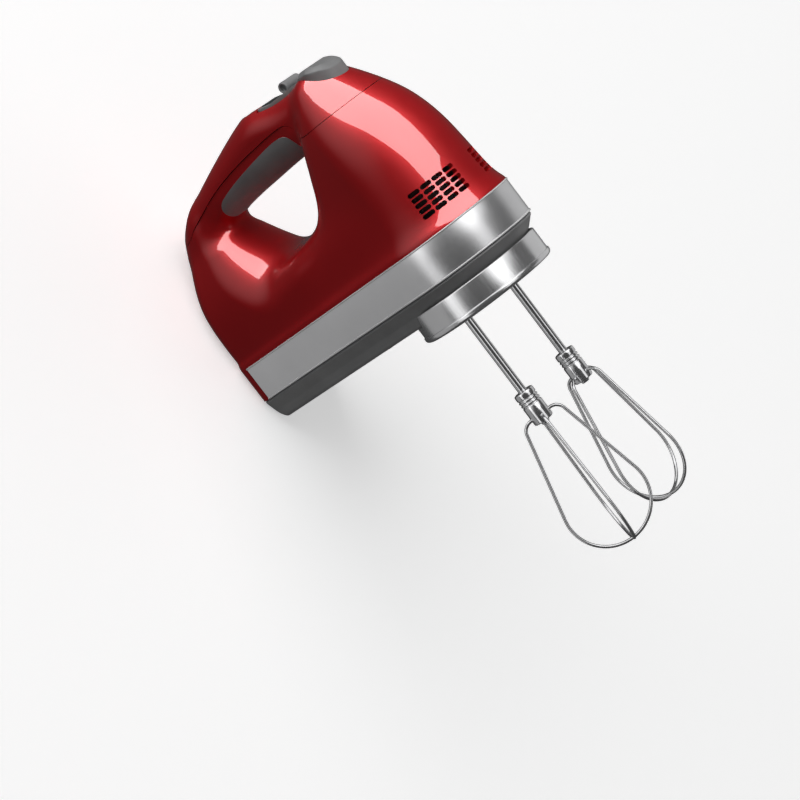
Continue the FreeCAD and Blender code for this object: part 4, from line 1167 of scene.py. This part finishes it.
def button_form(x, y, z):
    """The ejector button: a D-shaped cap with sloping, chamfered top."""
    plan = hull_distance(x, y, *BUTTON_PLAN)
    top = np.interp(x, (140, 148, 152, 158, 165, 172), (144.2, 145.4, 146, 145.6, 143, 139.2))
    shoulder = (plan + 2.6) * 0.6 + (z - top) * 0.8 + 0.2
    cap = smooth_max(plan, (z - top) * 0.97, 0.7)
    cap = smooth_max(cap, shoulder, 0.5)
    return smooth_max(cap, 126.5 - z, 0.8)


def switch_form(x, y, z):
    """The power switch: a roll with hollow ends, on a stem."""
    across = np.hypot(x - SWITCH_X, z - SWITCH_Z)
    roll = smooth_max(across - 3.2, np.abs(y) - 7.5, 1.0)
    roll = smooth_max(roll, -smooth_max(across - 2.1, 5.4 - np.abs(y), 0.6), 0.5)
    stem = np.maximum(np.maximum(np.abs(x - SWITCH_X) - 1.8, np.abs(y) - 3.8),
                      np.maximum(z - 145, 132.8 - z))
    return np.minimum(roll, stem)


def speed_form(x, y, z):
    """The speed button: an oval dome with a shallow thumb hollow."""
    oval = (np.hypot((x - SPEED_X) / 4.6, y / 6.2) - 1) * 5.2
    dome = smooth_max(oval, z - 146.3, 1.4)
    thumb = 20 - np.sqrt((x - SPEED_X) ** 2 + y**2 + (z - 165.6) ** 2)
    dome = smooth_max(dome, thumb, 0.6)
    skirt = np.maximum((np.hypot((x - SPEED_X) / 5.8, y / 7.4) - 1) * 6.4,
                       np.maximum(z - 138.8, 137.6 - z))
    stem = np.maximum(np.hypot(x - SPEED_X, y) - 2, np.maximum(z - 139, 129.3 - z))
    return np.minimum(np.minimum(smooth_max(dome, 137.7 - z, 0.6), skirt), stem)


def make_controls():
    """Button, switch, speed button, control strip and window."""
    for name, field, low, high, spacing, body, node in (
        ("ejector_cap", button_form, (146, -13, 124), (177, 13, 149), 0.55, "ejector",
         "ejector_button"),
        ("switch_roll", switch_form, (130, -9, 131), (142, 9, 151), 0.37, "power_switch",
         "power_switch"),
        ("speed_dome", speed_form, (98, -9, 128), (114, 9, 149), 0.5, "speed_button",
         "speed_button"),
    ):
        piece = solid_of(name, field, low, high, spacing, [CONTROL])
        shade_by_field(piece, field)
        place_piece(piece, body, node)
    strip = plan_cutter(plan_outline(*STRIP_PLAN, fine=15), 140.8, PAST_TOP, 0)
    strip.name = "control_strip"
    strip.data.materials.append(PANEL)
    top = side_cutter([(100, 150), (100, 146.2), (113, 145.6), (122.5, 143.5), (160, 142.7),
                       (160, 190), (100, 190)], 30, 0)
    combine(strip, top)
    combine(strip, block((147.5, -20, 130), (170, 20, 170), 0))
    combine(strip, block(*SWITCH_SLOT, 0))
    for x in (SWITCH_X, SWITCH_X + SWITCH_TRAVEL):
        room = [(x, y, SWITCH_Z) for y in (-7.9, 0, 7.9)]
        combine(strip, wire("cutter", room, 3.5, [], 48))
    place_piece(smooth(bevelled(strip, 0.5, 3, 35), 35), "housing", "control_panel")
    pane = side_cutter([(115.4, 144.9), (115.4, 145.75), (122.3, 144.2), (122.3, 143.4)], 6.5, 0)
    pane.name = "window_pane"
    pane.data.materials.append(WINDOW)
    place_piece(smooth(bevelled(pane, 0.25, 2, 35), 35), "housing", "display_window")


make_housing()
make_band()
make_base()
make_plate()
make_beater("left", 0)
make_beater("right", 45)
make_controls()

# ---- which light reaches which piece

# the pieces that the strips of light are seen in: the metal ones and the base
STRIP_PIECES = (
    "band", "band_rim_low", "band_rim_high", "base", "plate", "shaft_left", "shaft_right",
    "collar_left", "collar_right", "wires_left", "wires_right",
)


def limit_light(light_name, piece_names):
    """Let a light fall on some pieces alone."""
    receivers = bpy.data.collections.new(light_name + "_receivers")
    for piece_name in piece_names:
        receivers.objects.link(bpy.data.objects[piece_name])
    bpy.data.objects[light_name].light_linking.receiver_collection = receivers


limit_light("key_lacquer", ("cover_red", "shell_red"))
for light_row in LIGHTS:
    if light_row[0].startswith("metal_"):
        limit_light(light_row[0], STRIP_PIECES)
